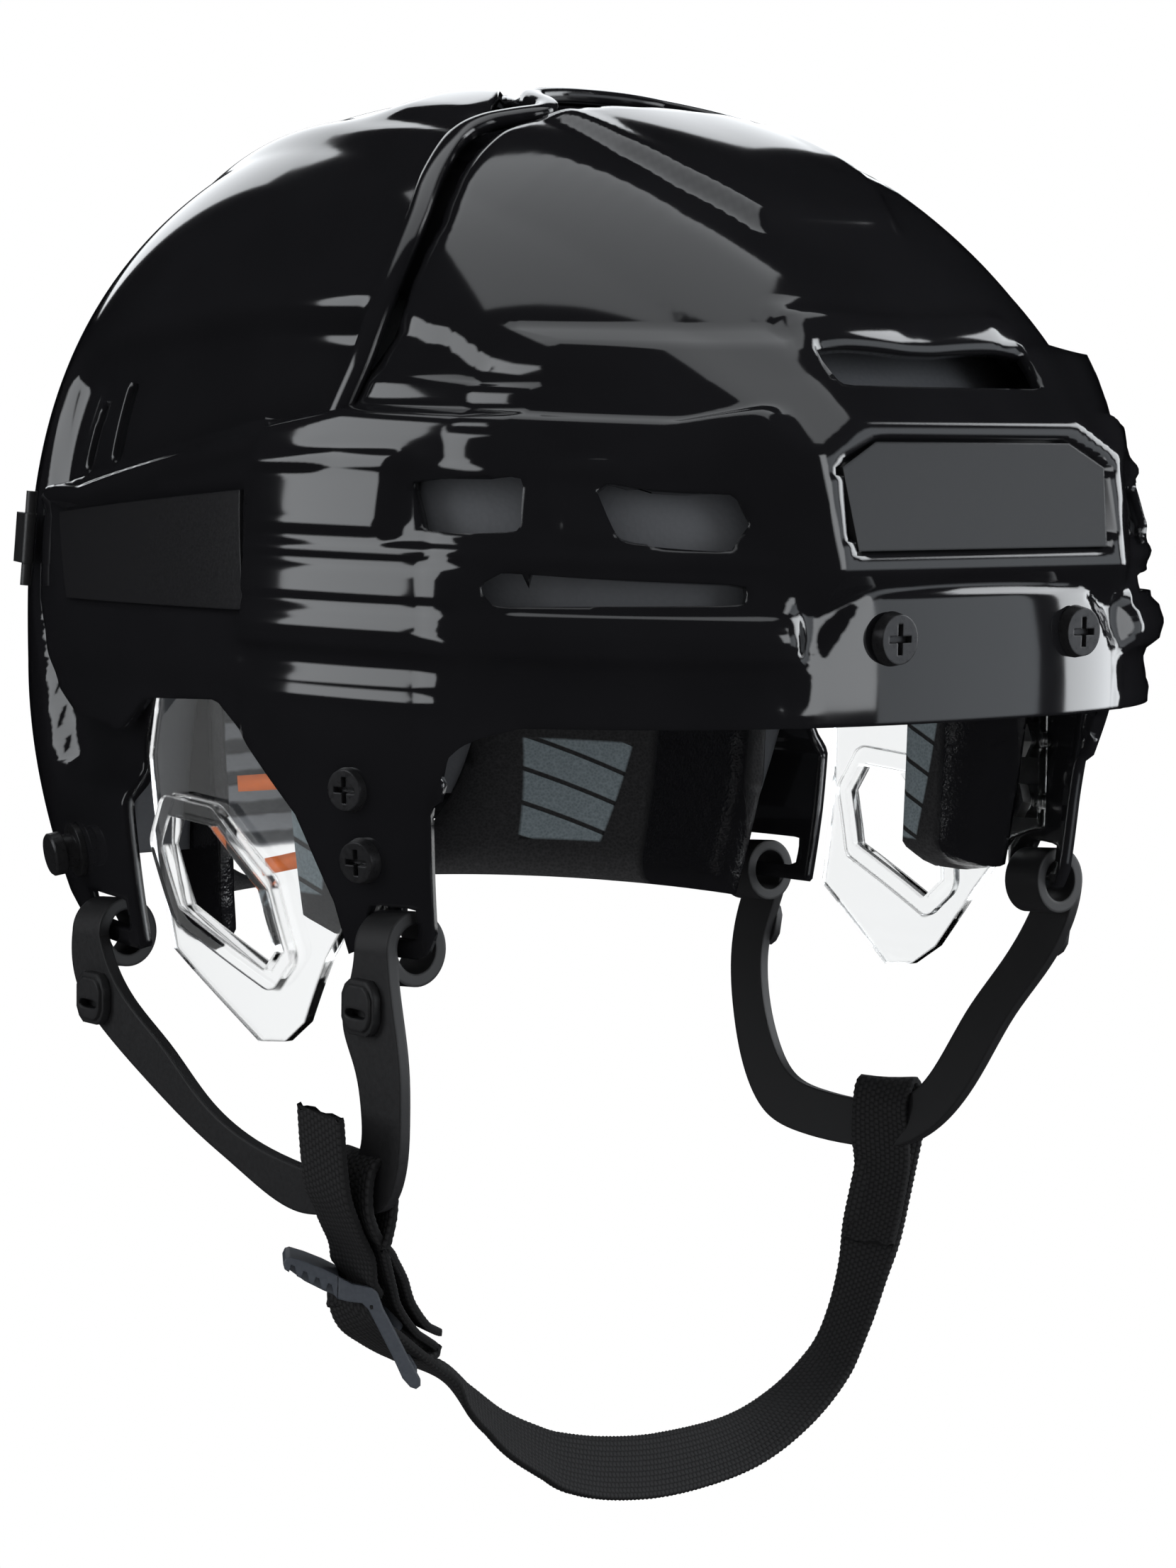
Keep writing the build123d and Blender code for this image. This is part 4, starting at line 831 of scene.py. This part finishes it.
def webbed(work, stops, gap=0.0005, half=0.0075, thick=0.00085):
    """Add webbing along a smooth line through stops of (place in mm, direction of its width)."""
    lane = work.loops.layers.uv.get("weave") or work.loops.layers.uv.new("weave")
    stops = [(Vector(spot) / 1000, Vector(wide)) for spot, wide in stops]
    run = []
    for index in range(len(stops) - 1):
        near = [stops[min(max(index + step, 0), len(stops) - 1)] for step in (-1, 0, 1, 2)]
        count = max(round((near[2][0] - near[1][0]).length / gap), 1)
        for part in range(count):
            weights = pull(part / count)
            run.append([sum((stop[item] * weight / 2 for stop, weight in zip(near, weights)), Vector())
                        for item in (0, 1)])
    run.append(stops[-1])
    profile = [(-1, -0.5), (-0.96, -0.95), (-0.8, -1), (-0.4, -1), (0, -1), (0.4, -1), (0.8, -1),
               (0.96, -0.95), (1, -0.5), (1, 0.5), (0.96, 0.95), (0.8, 1), (0.4, 1), (0, 1), (-0.4, 1),
               (-0.8, 1), (-0.96, 0.95), (-1, 0.5)]
    rings, travelled = [], [0.0]
    for index, (spot, wide) in enumerate(run):
        ahead = (run[min(index + 1, len(run) - 1)][0] - run[max(index - 1, 0)][0]).normalized()
        wide = (wide - ahead * wide.dot(ahead)).normalized()
        face = ahead.cross(wide)
        if index:
            travelled.append(travelled[-1] + (spot - run[index - 1][0]).length)
        ripple = 1 + 0.018 * math.sin(travelled[-1] * 2 * math.pi * pick_count)
        ragged = 0.0006 if index in (0, len(run) - 1) else 0.0
        rings.append([work.verts.new(spot + wide * half * share * (ripple if abs(share) > 0.9 else 1)
                                     + face * thick * rise_share
                                     + ahead * ragged * math.sin(point * 2.3) * (1 if index else -1))
                      for point, (share, rise_share) in enumerate(profile)])
    work.faces.new(rings[0][::-1])
    work.faces.new(rings[-1])
    for index in range(len(rings) - 1):
        for point in range(len(profile)):
            after = (point + 1) % len(profile)
            face = work.faces.new((rings[index][point], rings[index][after], rings[index + 1][after],
                                   rings[index + 1][point]))
            corners = ((0, point), (0, after), (1, after), (1, point))
            for corner, (step, spot_at) in zip(face.loops, corners):
                corner[lane].uv = (travelled[index + step], profile[spot_at][0] * half)


work = bmesh.new()
webbed(work, [
    ((85.4, -5.6, -141.4), (0.16, -0.99, 0.05)), ((87.9, -5.0, -135.2), (0.20, -0.98, 0.08)),
    ((90.6, -4.4, -124.2), (0.28, -0.96, 0.10)), ((89.7, -4.6, -115.9), (0.38, -0.92, 0.06)),
    ((89.0, -4.8, -108.2), (0.25, -0.97, 0.07)), ((90.3, -4.5, -103.9), (0.36, -0.93, 0.08)),
    ((92.7, -4.0, -102.4), (0.46, -0.89, 0.06)), ((95.1, -3.4, -104.8), (0.41, -0.91, 0.03)),
    ((96.5, -3.1, -110.2), (0.39, -0.92, -0.01)), ((95.0, -3.3, -116.5), (0.75, -0.66, -0.02)),
    ((93.1, -3.3, -123.6), (0.76, -0.65, 0.02)), ((89.4, -3.7, -135.7), (0.64, -0.77, 0.03)),
    ((86.4, -3.3, -148.0), (0.11, -0.98, -0.16)), ((81.9, -2.9, -160.7), (-0.08, -0.99, -0.15)),
    ((74.8, -3.1, -170.7), (-0.19, -0.94, -0.29)), ((60.1, -5.1, -178.8), (-0.27, -0.88, -0.40)),
    ((40.1, -8.5, -183.1), (-0.40, -0.75, -0.53)), ((13.0, -13.8, -182.1), (-0.45, -0.61, -0.66)),
    ((-8.5, -18.0, -178.4), (-0.56, -0.58, -0.60)), ((-25.4, -21.4, -173.3), (-0.67, -0.62, -0.40)),
    ((-35.1, -23.3, -168.5), (-0.69, -0.68, -0.22)), ((-46.2, -25.8, -162.0), (-0.71, -0.70, -0.06)),
    ((-56.1, -28.0, -154.3), (-0.68, -0.73, 0.05)), ((-66.1, -30.2, -145.7), (-0.63, -0.76, 0.14)),
    ((-76.6, -32.9, -139.8), (-0.33, -0.91, 0.25)), ((-86.8, -35.7, -133.4), (-0.17, -0.94, 0.29)),
    ((-93.9, -37.7, -128.2), (-0.07, -0.96, 0.29)), ((-97.6, -38.5, -123.7), (-0.02, -1.00, 0.09)),
    ((-97.0, -37.6, -121.0), (-0.06, -1.00, -0.04)), ((-95.4, -37.2, -118.9), (-0.09, -0.99, -0.07)),
    ((-97.9, -38.9, -115.3), (-0.07, -0.99, -0.12)), ((-100.6, -41.0, -110.1), (-0.04, -1.00, -0.08)),
    ((-105.8, -43.7, -103.1), (-0.08, -1.00, -0.05)), ((-109.6, -45.5, -97.2), (-0.05, -1.00, -0.00)),
    ((-111.4, -46.3, -90.3), (-0.04, -1.00, -0.01)), ((-112.8, -46.8, -80.0), (-0.06, -0.99, 0.10))])
chin_webbing = link("chin_webbing", work, "strap", webbing)
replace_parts(chin_webbing, "chin_strap")
work = bmesh.new()
webbed(work, [
    ((-99.2, -45.5, -107.5), (-0.10, -0.99, 0.0)), ((-98.5, -46.6, -101.0), (-0.10, -0.99, 0.0)),
    ((-98.6, -46.8, -94.0), (-0.10, -0.99, 0.0)), ((-99.9, -46.9, -91.0), (-0.10, -0.99, 0.0)),
    ((-101.8, -47.0, -90.0), (-0.10, -0.99, 0.0)), ((-103.7, -47.0, -91.0), (-0.10, -0.99, 0.0)),
    ((-104.9, -47.0, -94.0), (-0.10, -0.99, 0.0)), ((-104.5, -46.6, -99.5), (-0.12, -0.99, -0.02)),
    ((-101.2, -44.6, -105.0), (-0.12, -0.99, -0.02)), ((-95.4, -41.0, -110.3), (-0.07, -1.00, -0.05)),
    ((-89.7, -37.8, -116.7), (-0.05, -1.00, -0.04)), ((-85.6, -35.8, -123.1), (-0.06, -1.00, -0.04)),
    ((-80.7, -33.9, -128.4), (-0.05, -1.00, -0.05)), ((-76.9, -32.6, -130.9), (-0.06, -1.00, -0.03))])
webbed(work, [
    ((-99.0, -43.4, -106.4), (-0.13, -0.99, -0.05)), ((-92.9, -38.7, -117.0), (-0.08, -0.99, -0.10)),
    ((-89.5, -36.7, -122.7), (-0.06, -0.99, -0.15)), ((-83.4, -34.5, -129.1), (-0.09, -0.99, -0.12)),
    ((-76.7, -32.6, -134.1), (-0.07, -0.99, -0.08)), ((-77.5, -32.8, -136.4), (-0.08, -1.00, -0.05)),
    ((-80.8, -33.5, -136.7), (-0.12, -0.99, -0.05))])
anchor_webbing = link("anchor_webbing", work, "strap", webbing)
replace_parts(anchor_webbing, "anchor_strap")
